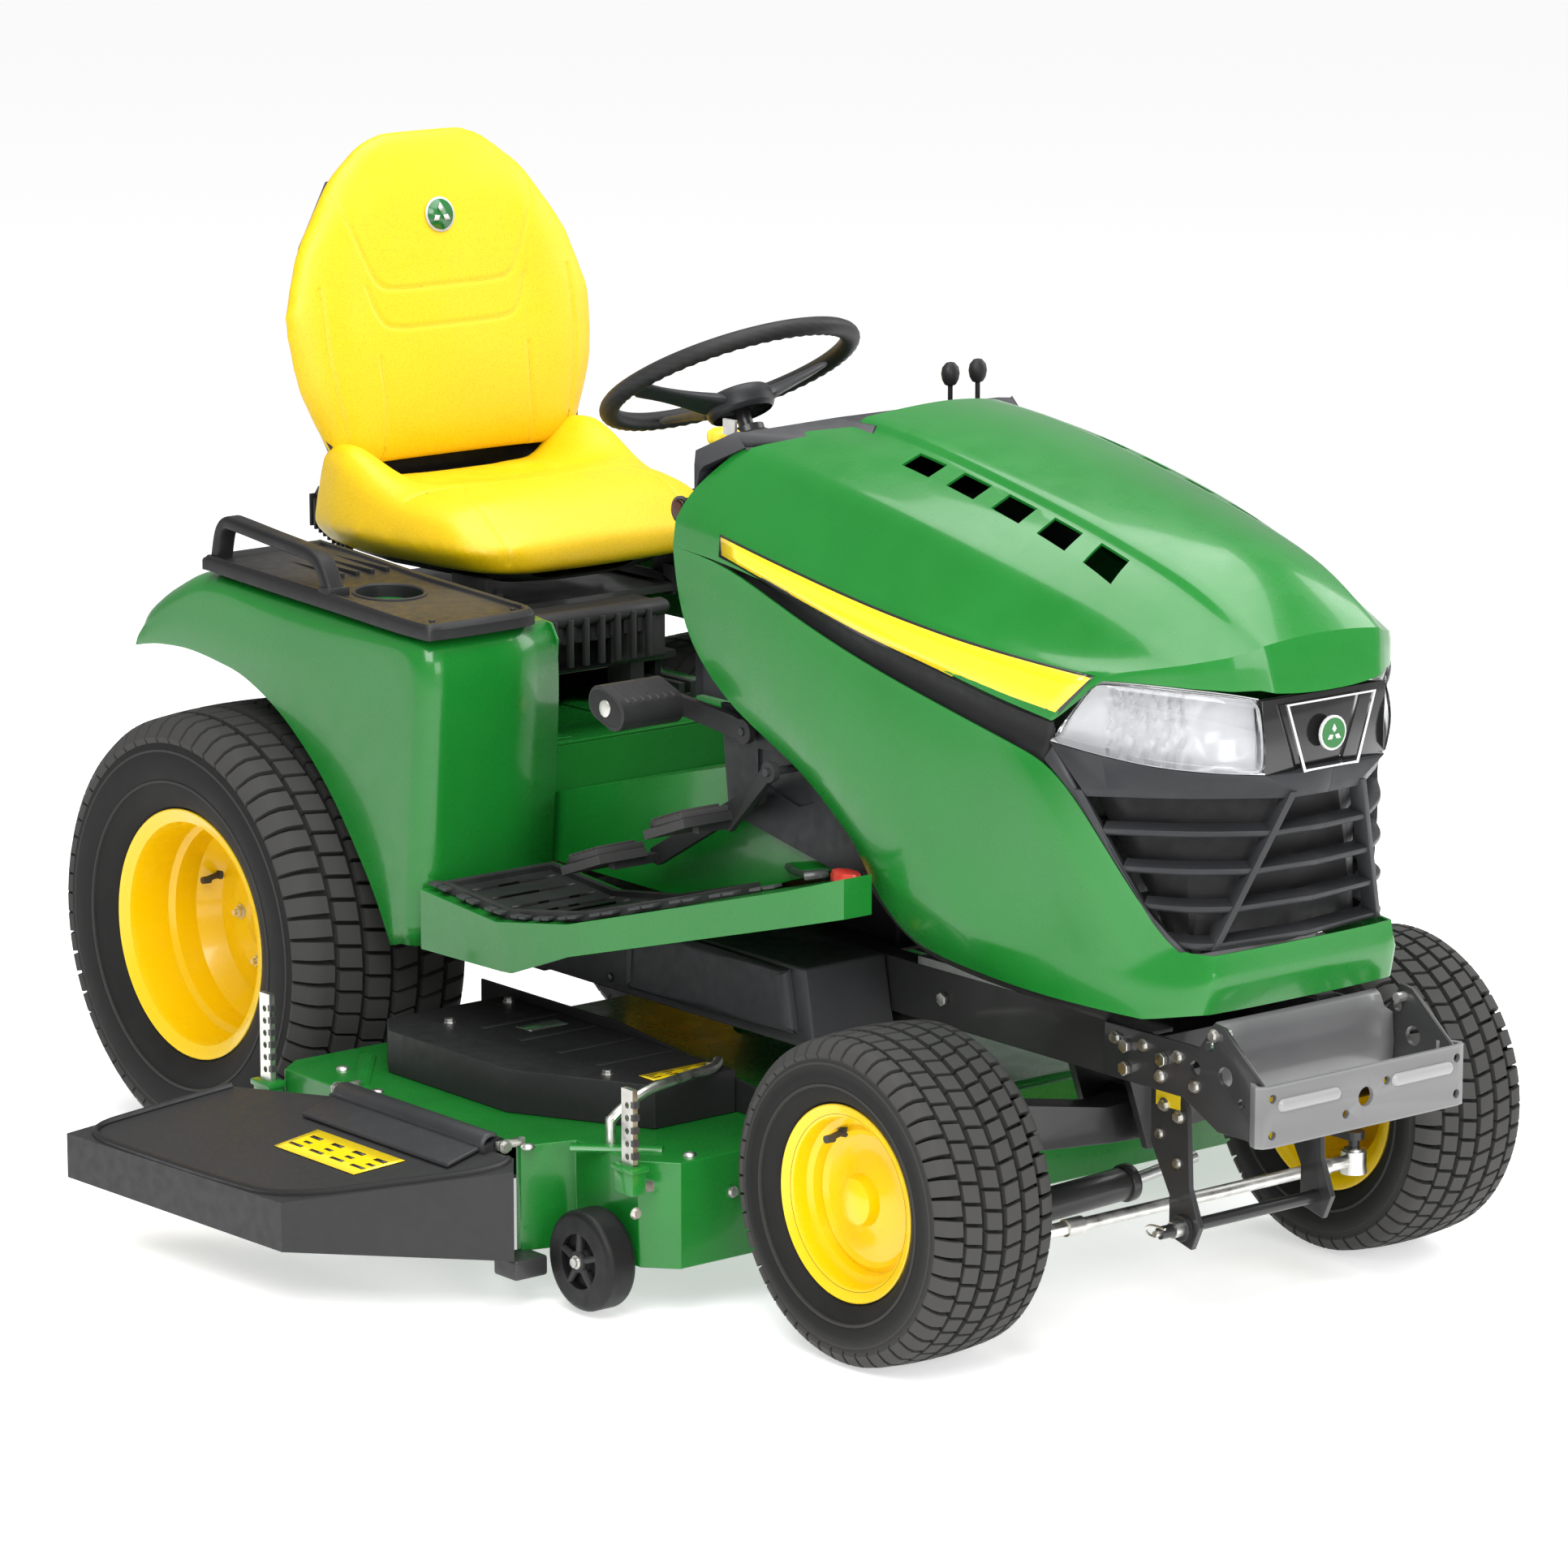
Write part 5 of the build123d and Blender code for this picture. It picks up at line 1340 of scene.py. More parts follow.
def consoleTop(y):
    return 766 + (y + 440) / 480 * 22


def makeConsole(word, side):
    # tray with a rolled lip, a cup well, a grab handle and a ribbed shelf
    low, high = consoleSizes["x"]
    outline = [(low, -425), (low + 24, -446), (high - 26, -449), (high - 2, -425), (high, -250), (high, 20),
               (high - 14, 42), (low + 14, 42), (low, 24), (low, -200)]
    shape = [(p.x, p.y) for p in splinePoints([(x, y, 0) for x, y in outline + outline[:1]], 90)[:-1]]
    middle = Vector(((low + high) / 2, -200))
    bm = bmesh.new()
    rings = []
    for inset, drop in ((0, -15), (0, -3), (2, 0), (6, 2), (11, 1.5), (14, -2.5), (16, -3)):
        ring = []
        for x, y in shape:
            to = (middle - Vector((x, y))).normalized() * inset
            ring.append(at(side * (x + to.x), y + to.y, consoleTop(y) + drop))
        rings.append(ring)
    addLoft(bm, rings)
    last = [v for v in bm.verts if min((v.co - p).length for p in rings[-1]) < 1e-6]
    face = bmesh.ops.contextual_create(bm, geom=last)["faces"]
    bmesh.ops.triangulate(bm, faces=face)
    tray = finishPiece(bm, "console_tray_" + word, "chassis", "blackPlastic",
                       nodes=("fender_consoles",) if side < 0 else (), slot="black_plastic")
    wallUp(tray, 0.003)
    cx, cy, cr = consoleSizes["cup"]
    cutter = bmesh.new()
    addRod(cutter, at(side * cx, cy, 700), at(side * cx, cy, 840), cr / 1000, steps=64)
    cutAway(tray, cutter)
    bm = bmesh.new()
    rings = []
    for r, z in ((cr + 5, consoleTop(cy) - 3), (cr + 4, consoleTop(cy) + 1), (cr + 1, consoleTop(cy) + 2),
                 (cr - 1, consoleTop(cy)), (cr - 2, 760), (cr - 4, 720), (cr - 8, 712), (4, 711)):
        rings.append([at(side * cx + r * math.cos(a), cy + r * math.sin(a), z + (r * math.sin(a)) * 0.045)
                      for a in turns(56)])
    addLoft(bm, rings)
    bmesh.ops.holes_fill(bm, edges=[e for e in bm.edges if e.is_boundary and e.calc_length() < 0.002])
    cup = finishPiece(bm, "cup_well_" + word, "chassis", "blackPlastic", outward=False)
    wallUp(cup, 0.0025)
    bm = bmesh.new()
    route = [(34, 778), (30, 800), (22, 826), (8, 838), (-14, 838), (-90, 831), (-170, 824), (-194, 818),
             (-208, 806), (-224, 778)]
    section = [(-14, -6), (-14, 5), (-10, 9), (10, 9), (14, 5), (14, -6), (8, -9), (-8, -9)]
    line = splinePoints([(0, y, z) for y, z in route], 40)
    rings = []
    for i, p in enumerate(line):
        ahead = line[min(i + 1, 39)] - line[max(i - 1, 0)]
        ahead.normalize()
        lift = Vector((0, ahead.z, -ahead.y))
        rings.append([at(side * (438 + u), p.y + lift.y * w, p.z + lift.z * w) for u, w in section])
    addLoft(bm, rings, capped=True)
    for y in (34, -222):
        addBox(bm, sorted((side * 420, side * 455)), (y - 12, y + 12), (772, 786))
    softenEdges(bm, 0.002, 2, 40)
    finishPiece(bm, "grab_handle_" + word, "chassis", "blackPlastic")
    bm = bmesh.new()
    for k in range(4):
        x = side * (300 + 24 * k)
        addBox(bm, (x - 3, x + 3), (-150, 10), (779, 785.5))
    for x in (292, 420):
        addHexBolt(bm, at(side * x, -412, consoleTop(-412) - 3), Vector((0, 0, 1)), 0.006)
    softenEdges(bm, 0.001)
    finishPiece(bm, "console_ribs_" + word, "chassis", "blackPlastic")


# footrest trim and mats

def makeFloorTrim():
    # ribs of the rubber mats, the slotted grey edge and the black front rod
    floor = skinTree(frame["nodes"]["foot_mats"])
    for word, side in (("right", -1), ("left", 1)):
        bm = bmesh.new()
        for k in range(9):
            y = -486 - 42 * k
            half = 66 if y > -620 else 60 - (-620 - y) * 0.10
            points = []
            for j in range(9):
                x = side * (350 + half * (-1 + j / 4))
                hit = floor.ray_cast(at(x, y, 640), Vector((0, 0, -1)))[0]
                if hit:
                    points.append(hit + Vector((0, 0, 0.001)))
            for a, b in zip(points, points[1:]):
                addRod(bm, a, b, 0.0018, steps=8)
        finishPiece(bm, "mat_ribs_" + word, "chassis", "grip")
        bm = bmesh.new()
        edge = [(456, -440, 432), (456, -600, 420), (441, -720, 436), (414, -900, 486), (386, -1080, 536)]
        line = splinePoints([(side * x, y, z) for x, y, z in edge], 34)
        for i, (a, b) in enumerate(zip(line, line[1:])):
            if i % 3 != 2:
                run = b - a
                turn = run.to_track_quat("Y", "Z").to_matrix().to_4x4()
                made = bmesh.ops.create_cube(bm, size=1)["verts"]
                bmesh.ops.scale(bm, verts=made, vec=(0.016, run.length / 1000 * 0.82, 0.004))
                bmesh.ops.transform(bm, verts=made, matrix=Matrix.Translation(
                    at(*((a + b) / 2)) + Vector((-side * 0.012, 0, 0.004))) @ turn)
        softenEdges(bm, 0.0008)
        finishPiece(bm, "floor_slots_" + word, "chassis", "greyPlastic")
        bm = bmesh.new()
        rod = [(234, -900, 508), (300, -1000, 524), (330, -1080, 546), (352, -1120, 556), (372, -1100, 552)]
        addTube(bm, [at(side * x, y, z) for x, y, z in rod], 0.005, 12)
        finishPiece(bm, "floor_rod_" + word, "chassis", "blackPaint")
    tunnel = skinTree(frame["nodes"]["footrest"])
    for name, x, y, finish, lift in (("tunnel_label", (-70, 70), (-640, -560), "film", 0.0006),
                                     ("tunnel_label_head", (-70, 70), (-580, -560), "blackFilm", 0.001)):
        bm = bmesh.new()
        addStrip(bm, [at(x[0] + (x[1] - x[0]) * i / 6, y[1], 700) for i in range(7)],
                 [at(x[0] + (x[1] - x[0]) * i / 6, y[0], 700) for i in range(7)], 2)
        layOn(bm, tunnel, Vector((0, 0, -1)), lift, 0.3)
        wallUp(finishPiece(bm, name, "chassis", finish, "yellow_film"), 0.0004, 1)


for word, side in (("right", -1), ("left", 1)):
    makeFender(word, side)
    makeConsole(word, side)
makePlatform()
makeFloorTrim()
print("fenders and floor made")

# deck, chute, front plate and running gear

def layLabel(name, body, tree, corners, toward, finish, lift=0.0008, marks=0):
    # a film label laid on a skin, with plain dark marks across it
    toward = toward.normalized()
    a, b, c, d = [at(*p) for p in corners]
    bm = bmesh.new()
    addStrip(bm, [a.lerp(b, i / 6) for i in range(7)], [d.lerp(c, i / 6) for i in range(7)], 2)
    layOn(bm, tree, toward, lift, 0.12)
    wallUp(finishPiece(bm, name, body, finish, "yellow_film"), 0.0004, 1)
    if marks:
        bm = bmesh.new()
        for k in range(marks):
            for row, (top, low, long) in enumerate(((0.24, 0.34, 0.5), (0.48, 0.56, 0.34),
                                                    (0.68, 0.76, 0.62))):
                start, end = (k + 0.2) / marks, (k + 0.2 + long) / marks
                one, two = a.lerp(b, start), a.lerp(b, end)
                four, three = d.lerp(c, start), d.lerp(c, end)
                addStrip(bm, [one.lerp(four, top), two.lerp(three, top)],
                         [one.lerp(four, low), two.lerp(three, low)], 0)
        layOn(bm, tree, toward, lift + 0.0005, 0.12)
        wallUp(finishPiece(bm, name + "_marks", body, "blackFilm"), 0.0002, 1)


def makeChuteTrim():
    # rounded hinge cover, label, stiffening lip and the rod's end
    bm = bmesh.new()
    rings = []
    for y in (-822, -816, -660, -510, -504):
        grow = -3 if y in (-822, -504) else 0
        ring = []
        for i in range(15):
            a = math.radians(-28 + 150 * i / 14)
            ring.append(at(-628 - (17 + grow) * math.cos(a) - 8, y, 204 + (15 + grow) * math.sin(a)))
        rings.append(ring)
    addLoft(bm, rings, closed=False)
    wallUp(finishPiece(bm, "chute_hinge_cover", "chute", "greyPlastic"), 0.003)
    bm = bmesh.new()
    addPlate(bm, [at(-640, -816, 200), at(-640, -508, 200), at(-700, -508, 184), at(-700, -816, 184)],
             Vector((0, 0, 0.006)))
    softenEdges(bm, 0.0025, 3, 40)
    finishPiece(bm, "chute_hinge_flap", "chute", "greyPlastic")
    skin = skinTree(frame["nodes"]["chute"])
    down = Vector((0, 0, -1))
    layLabel("chute_label", "chute", skin, ((-712, -745, 260), (-712, -560, 260), (-768, -545, 260),
                                           (-768, -715, 260)), down, "film", 0.001, 4)
    bm = bmesh.new()
    rim = [(-652, -872, 300), (-666, -896, 300), (-760, -796, 300), (-856, -690, 300), (-866, -560, 300),
           (-872, -400, 300), (-874, -252, 300), (-790, -288, 300), (-694, -334, 300)]
    drop = []
    for x, y, z in rim:
        hit = skin.ray_cast(at(x + 6, y + 6 if y < -600 else y - 4, z), down)[0]
        if hit:
            drop.append(hit + Vector((0, 0, 0.001)))
    addTube(bm, drop, 0.005, 12)
    finishPiece(bm, "chute_rim_bead", "chute", "blackPlastic")
    bm = bmesh.new()
    for y, out in ((-837, -1), (-484, 1)):
        addHexBolt(bm, at(-628, y, 204), Vector((0, out, 0)), 0.009)
    finishPiece(bm, "chute_rod_nuts", "deck", "zinc")


def makeDeckTrim():
    # pressed ribs, carriage bolts, post sockets, labels on the covers and the lift handle
    deck = skinTree(frame["nodes"]["deck_shell"])
    covers = skinTree(frame["nodes"]["belt_covers"], frame["nodes"]["deck_shell"])
    down = Vector((0, 0, -1))
    bm = bmesh.new()
    for x0, y0, x1, y1 in ((-560, -880, -480, -960), (-590, -480, -500, -370), (640, -900, 560, -970),
                           (720, -480, 640, -370), (-120, -1000, 240, -1000), (-40, -560, 200, -560)):
        a, b = at(x0, y0, 200.5), at(x1, y1, 200.5)
        made = addRod(bm, a, b, 0.012, steps=16)
        bmesh.ops.scale(bm, verts=made, vec=(1, 1, 0.4), space=Matrix.Translation(-a))
    finishPiece(bm, "deck_ribs", "deck", "green")
    bm = bmesh.new()
    for x, y in ((-600, -846), (-592, -520), (-560, -400), (-470, -1000), (-330, -1004), (-150, -1004),
                 (20, -1004), (200, -1004), (380, -1004), (560, -1004), (690, -760), (720, -560), (700,
                                                                                                   -380)):
        made = bmesh.ops.create_uvsphere(bm, u_segments=16, v_segments=8, radius=0.009)["verts"]
        bmesh.ops.scale(bm, verts=made, vec=(1, 1, 0.5))
        bmesh.ops.translate(bm, verts=made, vec=at(x, y, 200.5))
    for x in (-570, -420, -250, -80, 90, 260, 430, 600):
        addHexBolt(bm, at(x, -1020.3, 150), Vector((0, -1, 0)), 0.008)
    for y in (-780, -640, -540):
        addHexBolt(bm, at(769, y + 60, 120), Vector((1, 0, 0)), 0.008)
    finishPiece(bm, "deck_bolts", "deck", "zinc")
    bm = bmesh.new()
    for x, y, z in ((-563, -1001, 170), (-632, -337, 150), (723, -1001, 170), (792, -337, 150)):
        addBox(bm, (x - 11, x + 11), (y - 18, y + 18), (z, z + 34))
        addBox(bm, (x - 14, x + 14), (y - 21, y + 21), (z + 28, z + 36))
    softenEdges(bm, 0.002, 2, 40)
    finishPiece(bm, "post_sockets", "deck", "green")
    bm = bmesh.new()
    for x, y in ((-563, -1001), (-632, -337), (723, -1001), (792, -337)):
        for k in range(6):
            z = 200 + 16 * k
            addBox(bm, (x - 4.4, x + 4.4), (y - 14, y - 8), (z - 2, z + 6))
    finishPiece(bm, "post_notches", "deck", "blackPaint")
    bm = bmesh.new()
    for hand, cx in ((-1, -368), (1, 528)):
        route = [(cx + hand * 150, -905, 232), (cx + hand * 120, -912, 262), (cx + hand * 20, -900, 268),
                 (cx - hand * 36, -880, 262), (cx - hand * 60, -852, 262)]
        addTube(bm, [at(*p) for p in route], 0.0065, 16)
        addRod(bm, at(cx + hand * 150, -905, 204), at(cx + hand * 150, -905, 236), 0.0065, steps=16)
    finishPiece(bm, "cover_handles", "deck", "zinc")
    bm = bmesh.new()
    for hand, cx in ((-1, -368), (1, 528)):
        for x, y in ((cx - hand * 50, -430), (cx - hand * 50, -850), (cx + hand * 74, -470),
                     (cx + hand * 74, -800)):
            addHexBolt(bm, at(x, y, 256), Vector((0, 0, 1)), 0.009)
    finishPiece(bm, "cover_bolts", "deck", "zinc")
    bm = bmesh.new()
    for hand, cx in ((-1, -368), (1, 528)):
        for y in (-520, -600, -680, -760):
            addBox(bm, sorted((cx + hand * 92, cx + hand * 122)), (y - 5, y + 5), (214, 252))
            addBox(bm, (cx - 60, cx + 60), (y - 5, y + 5), (255.5, 258.5))
    softenEdges(bm, 0.0015, 2, 40)
    finishPiece(bm, "cover_ribs", "deck", "blackPlastic")
    layLabel("cover_label_right", "deck", covers, ((-418, -862, 320), (-312, -862, 320), (-312, -832, 320),
                                                  (-418, -832, 320)), down, "film", 0.0008, 4)
    layLabel("cover_label_left", "deck", covers, ((578, -862, 320), (472, -862, 320), (472, -832, 320),
                                                 (578, -832, 320)), down, "film", 0.0008, 4)
    layLabel("deck_label", "deck", deck, ((-560, -800, 330), (-500, -800, 330), (-500, -770, 330),
                                          (-560, -770, 330)), down, "blackFilm", 0.0008)
    bm = bmesh.new()
    addBox(bm, (-640, -590), (-872, -826), (42, 68))
    softenEdges(bm, 0.004, 2, 40)
    finishPiece(bm, "skid_shoe", "deck", "blackPaint")


def makeGaugeTrim():
    # spokes, hub and a bright bolt on each small wheel's outer face
    for end, y in (("front", -928), ("rear", -254)):
        for word, side in (("right", -1), ("left", 1)):
            x = 80 + side * (645 if end == "front" else 672)
            body = "gauge_%s_%s" % (end, word)
            bm = bmesh.new()
            for face in (-1, 1):
                for k in range(5):
                    a = 2 * math.pi * k / 5 + 0.3
                    start = at(x + face * 19, y + 10 * math.cos(a), 71 + 10 * math.sin(a))
                    stop = at(x + face * 18, y + 40 * math.cos(a), 71 + 40 * math.sin(a))
                    addRod(bm, start, stop, 0.005, 0.004, steps=10)
                addRod(bm, at(x + face * 8, y, 71), at(x + face * 24, y, 71), 0.016, 0.013, steps=28)
            finishPiece(bm, "gauge_spokes_%s_%s" % (end, word), body, "blackPlastic")
            bm = bmesh.new()
            addHexBolt(bm, at(x + side * 24, y, 71), Vector((side, 0, 0)), 0.009)
            finishPiece(bm, "gauge_bolt_%s_%s" % (end, word), "deck", "zinc")


def makeFrontPlate():
    # grey plate with rolled ends and two embossed ribs painted paler as a painted highlight, black slotted
    # side plates, grey shield
    bm = bmesh.new()
    rings = []
    outline = [(-152, -1650), (-164, -1664), (-168, -1676), (-163, -1684), (-152, -1687), (0, -1687),
               (152, -1687),
               (163, -1684), (168, -1676), (164, -1664), (152, -1650)]
    for z in (301, 304, 338, 372, 375):
        rings.append([at(x, y, z) for x, y in outline])
    addLoft(bm, rings, closed=False)
    plate = wallUp(finishPiece(bm, "front_plate", "chassis", "greyPaint", nodes=("front_hitch",),
                               angle=20), 0.006, -1)
    bakeModifiers(plate)
    cutter = bmesh.new()
    addRod(cutter, at(0, -1720, 338), at(0, -1660, 338), 0.012, steps=40)
    for x, z in ((-150, 316), (-150, 360), (150, 316), (150, 360), (-32, 322), (34, 352)):
        addRod(cutter, at(x, -1720, z), at(x, -1660, z), 0.0055, steps=24)
    cutAway(plate, cutter)
    bm = bmesh.new()
    for hand in (-1, 1):
        rings = []
        for inset, y in ((0, -1686.5), (1.0, -1689.5), (3.2, -1691.4), (6.0, -1692)):
            half, high = 50 - inset, 8 - inset
            ring = []
            for i in range(32):
                a = 2 * math.pi * i / 32
                shift = (half - max(high, 1)) * (1 if math.cos(a) > 0 else -1)
                ring.append(at(hand * 92 + shift + max(high, 1) * math.cos(a), y,
                               350 + max(high, 1) * math.sin(a)))
            rings.append(ring)
        addLoft(bm, rings, capped=True)
    # the ribs are the plate's own steel; their paler grey is a painted highlight
    finishPiece(bm, "front_plate_ribs", "chassis", "ribHighlightGrey")
    side = [(-1678, 303), (-1678, 372), (-1608, 430), (-1590, 432), (-1566, 398), (-1400, 398), (-1400, 332),
            (-1540, 332), (-1600, 302)]
    bm = bmesh.new()
    for hand in (-1, 1):
        addPlate(bm, [at(hand * 150, y, z) for y, z in side], Vector((hand * 0.006, 0, 0)))
    softenEdges(bm, 0.0015, 2, 40)
    plates = finishPiece(bm, "front_side_plates", "chassis", "blackPaint")
    cutter = bmesh.new()
    for y, z, r in ((-1612, 372, 12), (-1585, 404, 7), (-1560, 372, 9), (-1640, 345, 6)):
        addRod(cutter, at(-170, y, z), at(170, y, z), r / 1000, steps=28)
    cutAway(plates, cutter)
    bm = bmesh.new()
    for hand in (-1, 1):
        for y, z in ((-1530, 380), (-1500, 350), (-1560, 350), (-1470, 382), (-1592, 418), (-1420, 382)):
            addHexBolt(bm, at(hand * 156, y, z), Vector((hand, 0, 0)), 0.0085)
        addRod(bm, at(hand * 136, -1596, 418), at(hand * 160, -1596, 418), 0.006, steps=20)
        addHexBolt(bm, at(hand * 112, -1460, 300), Vector((hand, 0, 0)), 0.009)
        addHexBolt(bm, at(hand * 112, -1486, 290), Vector((hand, 0, 0)), 0.009)
        addHexBolt(bm, at(hand * 112, -1452, 262), Vector((hand, 0, 0)), 0.007)
        addHexBolt(bm, at(hand * 112, -1484, 232), Vector((hand, 0, 0)), 0.007)
    finishPiece(bm, "front_bolts", "chassis", "zinc")
    bm = bmesh.new()
    rings = []
    for z, y, half in ((330, -1578, 148), (360, -1580, 148), (396, -1579, 146), (404, -1577, 134),
                       (418, -1572, 132), (424, -1566, 130)):
        rings.append([at(half * (-1 + i / 6), y - 2 * (1 - (-1 + i / 6) ** 2), z) for i in range(13)])
    addLoft(bm, rings, closed=False)
    wallUp(finishPiece(bm, "front_shield", "chassis", "greyPaint", angle=60), 0.004, 0)
    label = bmesh.new()
    addBox(label, (-113.2, -112), (-1488, -1446), (298, 324))
    finishPiece(label, "bracket_label", "chassis", "film")
    bm = bmesh.new()
    addRod(bm, at(-128, -1495, 155), at(-158, -1495, 155), 0.004, steps=14)
    addRod(bm, at(-118, -1495, 155), at(-130, -1495, 155), 0.010, steps=20)
    addTube(bm, [at(-150, -1495, 150), at(-150, -1480, 147), at(-152, -1470, 156), at(-150, -1482, 164),
                 at(-150, -1505, 162)], 0.0015, 8)
    finishPiece(bm, "bracket_pin", "chassis", "zinc")


def makeAxleTrim():
    # steering cylinder under the axle, grease caps, rod ends with their nuts
    bm = bmesh.new()
    addRod(bm, at(-120, -1225, 118), at(40, -1225, 124), 0.021, steps=32)
    addRod(bm, at(-128, -1225, 118), at(-112, -1225, 118.6), 0.024, steps=32)
    addRod(bm, at(34, -1225, 123.6), at(48, -1225, 124.4), 0.024, steps=32)
    softenEdges(bm, 0.002, 2, 40)
    finishPiece(bm, "axle_cylinder", "front_axle", "blackPaint")
    bm = bmesh.new()
    addRod(bm, at(48, -1225, 124.4), at(150, -1232, 140), 0.008, steps=24)
    addRod(bm, at(-128, -1225, 118), at(-180, -1232, 136), 0.008, steps=24)
    finishPiece(bm, "axle_cylinder_rod", "front_axle", "steel")
    bm = bmesh.new()
    for hand in (-1, 1):
        end = at(hand * 262, -1400, 152)
        inner = at(hand * 196, -1400, 152)
        addRod(bm, inner, end, 0.0105, 0.0085, steps=6)
        addRod(bm, end - Vector((0, 0, 0.016)), end + Vector((0, 0, 0.016)), 0.017, 0.013, steps=28)
        addHexBolt(bm, end + Vector((0, 0, 0.015)), Vector((0, 0, 1)), 0.010)
        addRod(bm, end + Vector((0, 0, 0.02)), end + Vector((0, 0, 0.034)), 0.005, steps=14)
    softenEdges(bm, 0.0008)
    finishPiece(bm, "tie_rod_ends", "tie_rod", "zinc")


def makeUnderSeat():
    # suspension springs, side cheeks with bolts, adjusting lever and the ribbed box's trim
    bm = bmesh.new()
    coil = []
    for i in range(120):
        a = 2 * math.pi * i / 20
        coil.append(at(-60 + 38 * math.cos(a), 60 + 38 * math.sin(a), 626 + 78 * i / 119))
    addTube(bm, coil, 0.0045, 12)
    addTube(bm, [p + Vector((0.12, -0.12, 0)) for p in coil], 0.0045, 12)
    finishPiece(bm, "suspension_springs", "seat_base", "blackPaint")
    bm = bmesh.new()
    for hand in (-1, 1):
        addPlate(bm, [at(hand * 150, y, z) for y, z in ((-184, 700), (-184, 716), (-150, 728), (140, 728),
                                                        (140, 704),
                                                       (60, 690), (-60, 690))], Vector((hand * 0.005, 0, 0)))
        for y in (-130, 0, 120):
            addHexBolt(bm, at(hand * 155, y, 710), Vector((hand, 0, 0)), 0.008)
    softenEdges(bm, 0.001)
    finishPiece(bm, "suspension_cheeks", "seat_base", "blackPaint")
    bm = bmesh.new()
    addTube(bm, [at(-110, -60, 606), at(-130, -230, 606), at(-150, -262, 616), at(-196, -290, 640),
                 at(-230, -300, 648)], 0.005, 14)
    finishPiece(bm, "slide_lever", "seat_base", "zinc")
    bm = bmesh.new()
    addRod(bm, at(-222, -298, 646), at(-262, -306, 656), 0.011, 0.009, steps=20)
    softenEdges(bm, 0.002)
    finishPiece(bm, "slide_lever_grip", "seat_base", "grip")
    bm = bmesh.new()
    rings = []
    for x in (-244, -240, -100, 16, 24):
        grow = -4 if x in (-244, 24) else 0
        rings.append([at(x, -326 + (14 + grow) * math.cos(a), 722 + (12 + grow) * math.sin(a))
                      for a in turns(24)])
    addLoft(bm, rings, capped=True)
    for k in range(9):
        x = -226 + 26 * k
        addBox(bm, (x, x + 8), (-342, -334), (660, 724))
    softenEdges(bm, 0.0015, 2, 50)
    finishPiece(bm, "seat_box_roll", "chassis", "blackPlastic")


def makeTankTrim():
    # raised rounded panel, vent slot and screws of the side housing, fuel cap and wiring
    for word, side in (("right", -1), ("left", 1)):
        bm = bmesh.new()
        shape = [(-652, 322), (-660, 390), (-680, 396), (-940, 396), (-956, 386), (-966, 330), (-950, 318),
                 (-670, 314)]
        line = [(p.x, p.y) for p in splinePoints([(y, z, 0) for y, z in shape + shape[:1]], 70)[:-1]]
        centre = Vector((-810, 355))
        rings = []
        for inset, x in ((-2, 289), (0, 291), (3, 292.5), (8, 293.5), (12, 293.5)):
            ring = []
            for y, z in line:
                to = (centre - Vector((y, z))).normalized() * inset
                ring.append(at(side * x, y + to.x, z + to.y))
            rings.append(ring)
        addLoft(bm, rings, capped=True)
        finishPiece(bm, "tank_panel_" + word, "chassis", "greyPlastic", angle=50)
        bm = bmesh.new()
        skirt = [(-352, 398), (-350, 380), (-350, 322), (-362, 310), (-640, 306), (-980, 318), (-996, 340),
                 (-990, 396)]
        addPlate(bm, [at(side * 266, y, z) for y, z in skirt], Vector((side * 0.014, 0, 0)))
        addBox(bm, sorted((side * 180, side * 268)), (-440, -352), (290, 398))
        softenEdges(bm, 0.004, 3, 40)
        evenNormals(finishPiece(bm, "tank_skirt_" + word, "chassis", "greyPlastic"))
        bm = bmesh.new()
        addBox(bm, sorted((side * 280, side * 283)), (-520, -500), (340, 392))
        for y, z in ((-460, 316), (-460, 388), (-600, 316), (-600, 388)):
            addRod(bm, at(side * 281, y, z), at(side * 285, y, z), 0.006, steps=18)
        softenEdges(bm, 0.0008)
        finishPiece(bm, "tank_screws_" + word, "chassis", "blackPaint")
    bm = bmesh.new()
    rings = []
    for z, r in ((690, 20), (694, 24), (706, 25), (712, 22), (714, 4)):
        rings.append([at(-262 + (r - (1.5 if i % 4 < 2 else 0)) * math.cos(a) * 0.6,
                         -1046 + (r - (1.5 if i % 4 < 2 else 0)) * math.sin(a), z - 180)
                      for i, a in enumerate(turns(32))])
    addLoft(bm, rings, capped=True)
    finishPiece(bm, "red_cap", "chassis", "redPlastic")
    for name, route, size in (("wiring_loom", ((-120, -700, 600), (-150, -900, 560), (-170, -1040, 440),
                                               (-160, -1200, 410), (-150, -1400, 405)), 0.008),
                              ("fuel_hose", ((120, -700, 560), (150, -960, 520), (160, -1080, 470),
                                             (130, -1180, 440)), 0.006)):
        bm = bmesh.new()
        addTube(bm, [at(*p) for p in route], size, 14)
        finishPiece(bm, name, "chassis", "grip")


makeChuteTrim()
makeDeckTrim()
makeGaugeTrim()
makeFrontPlate()
makeAxleTrim()
makeUnderSeat()
makeTankTrim()
print("deck, front plate and under-seat parts made")

# dash, steering wheel and controls

wheelSizes = {"centre": (0, -493, 1052), "radius": 163, "tube": 13, "tilt": math.radians(28.5)}


def wheelPoint(u, v, w):  # across, towards the driver and up along the column
    centre, tilt = wheelSizes["centre"], wheelSizes["tilt"]
    return at(centre[0] + u, centre[1] + v * math.cos(tilt) + w * math.sin(tilt),
              centre[2] - v * math.sin(tilt) + w * math.cos(tilt))


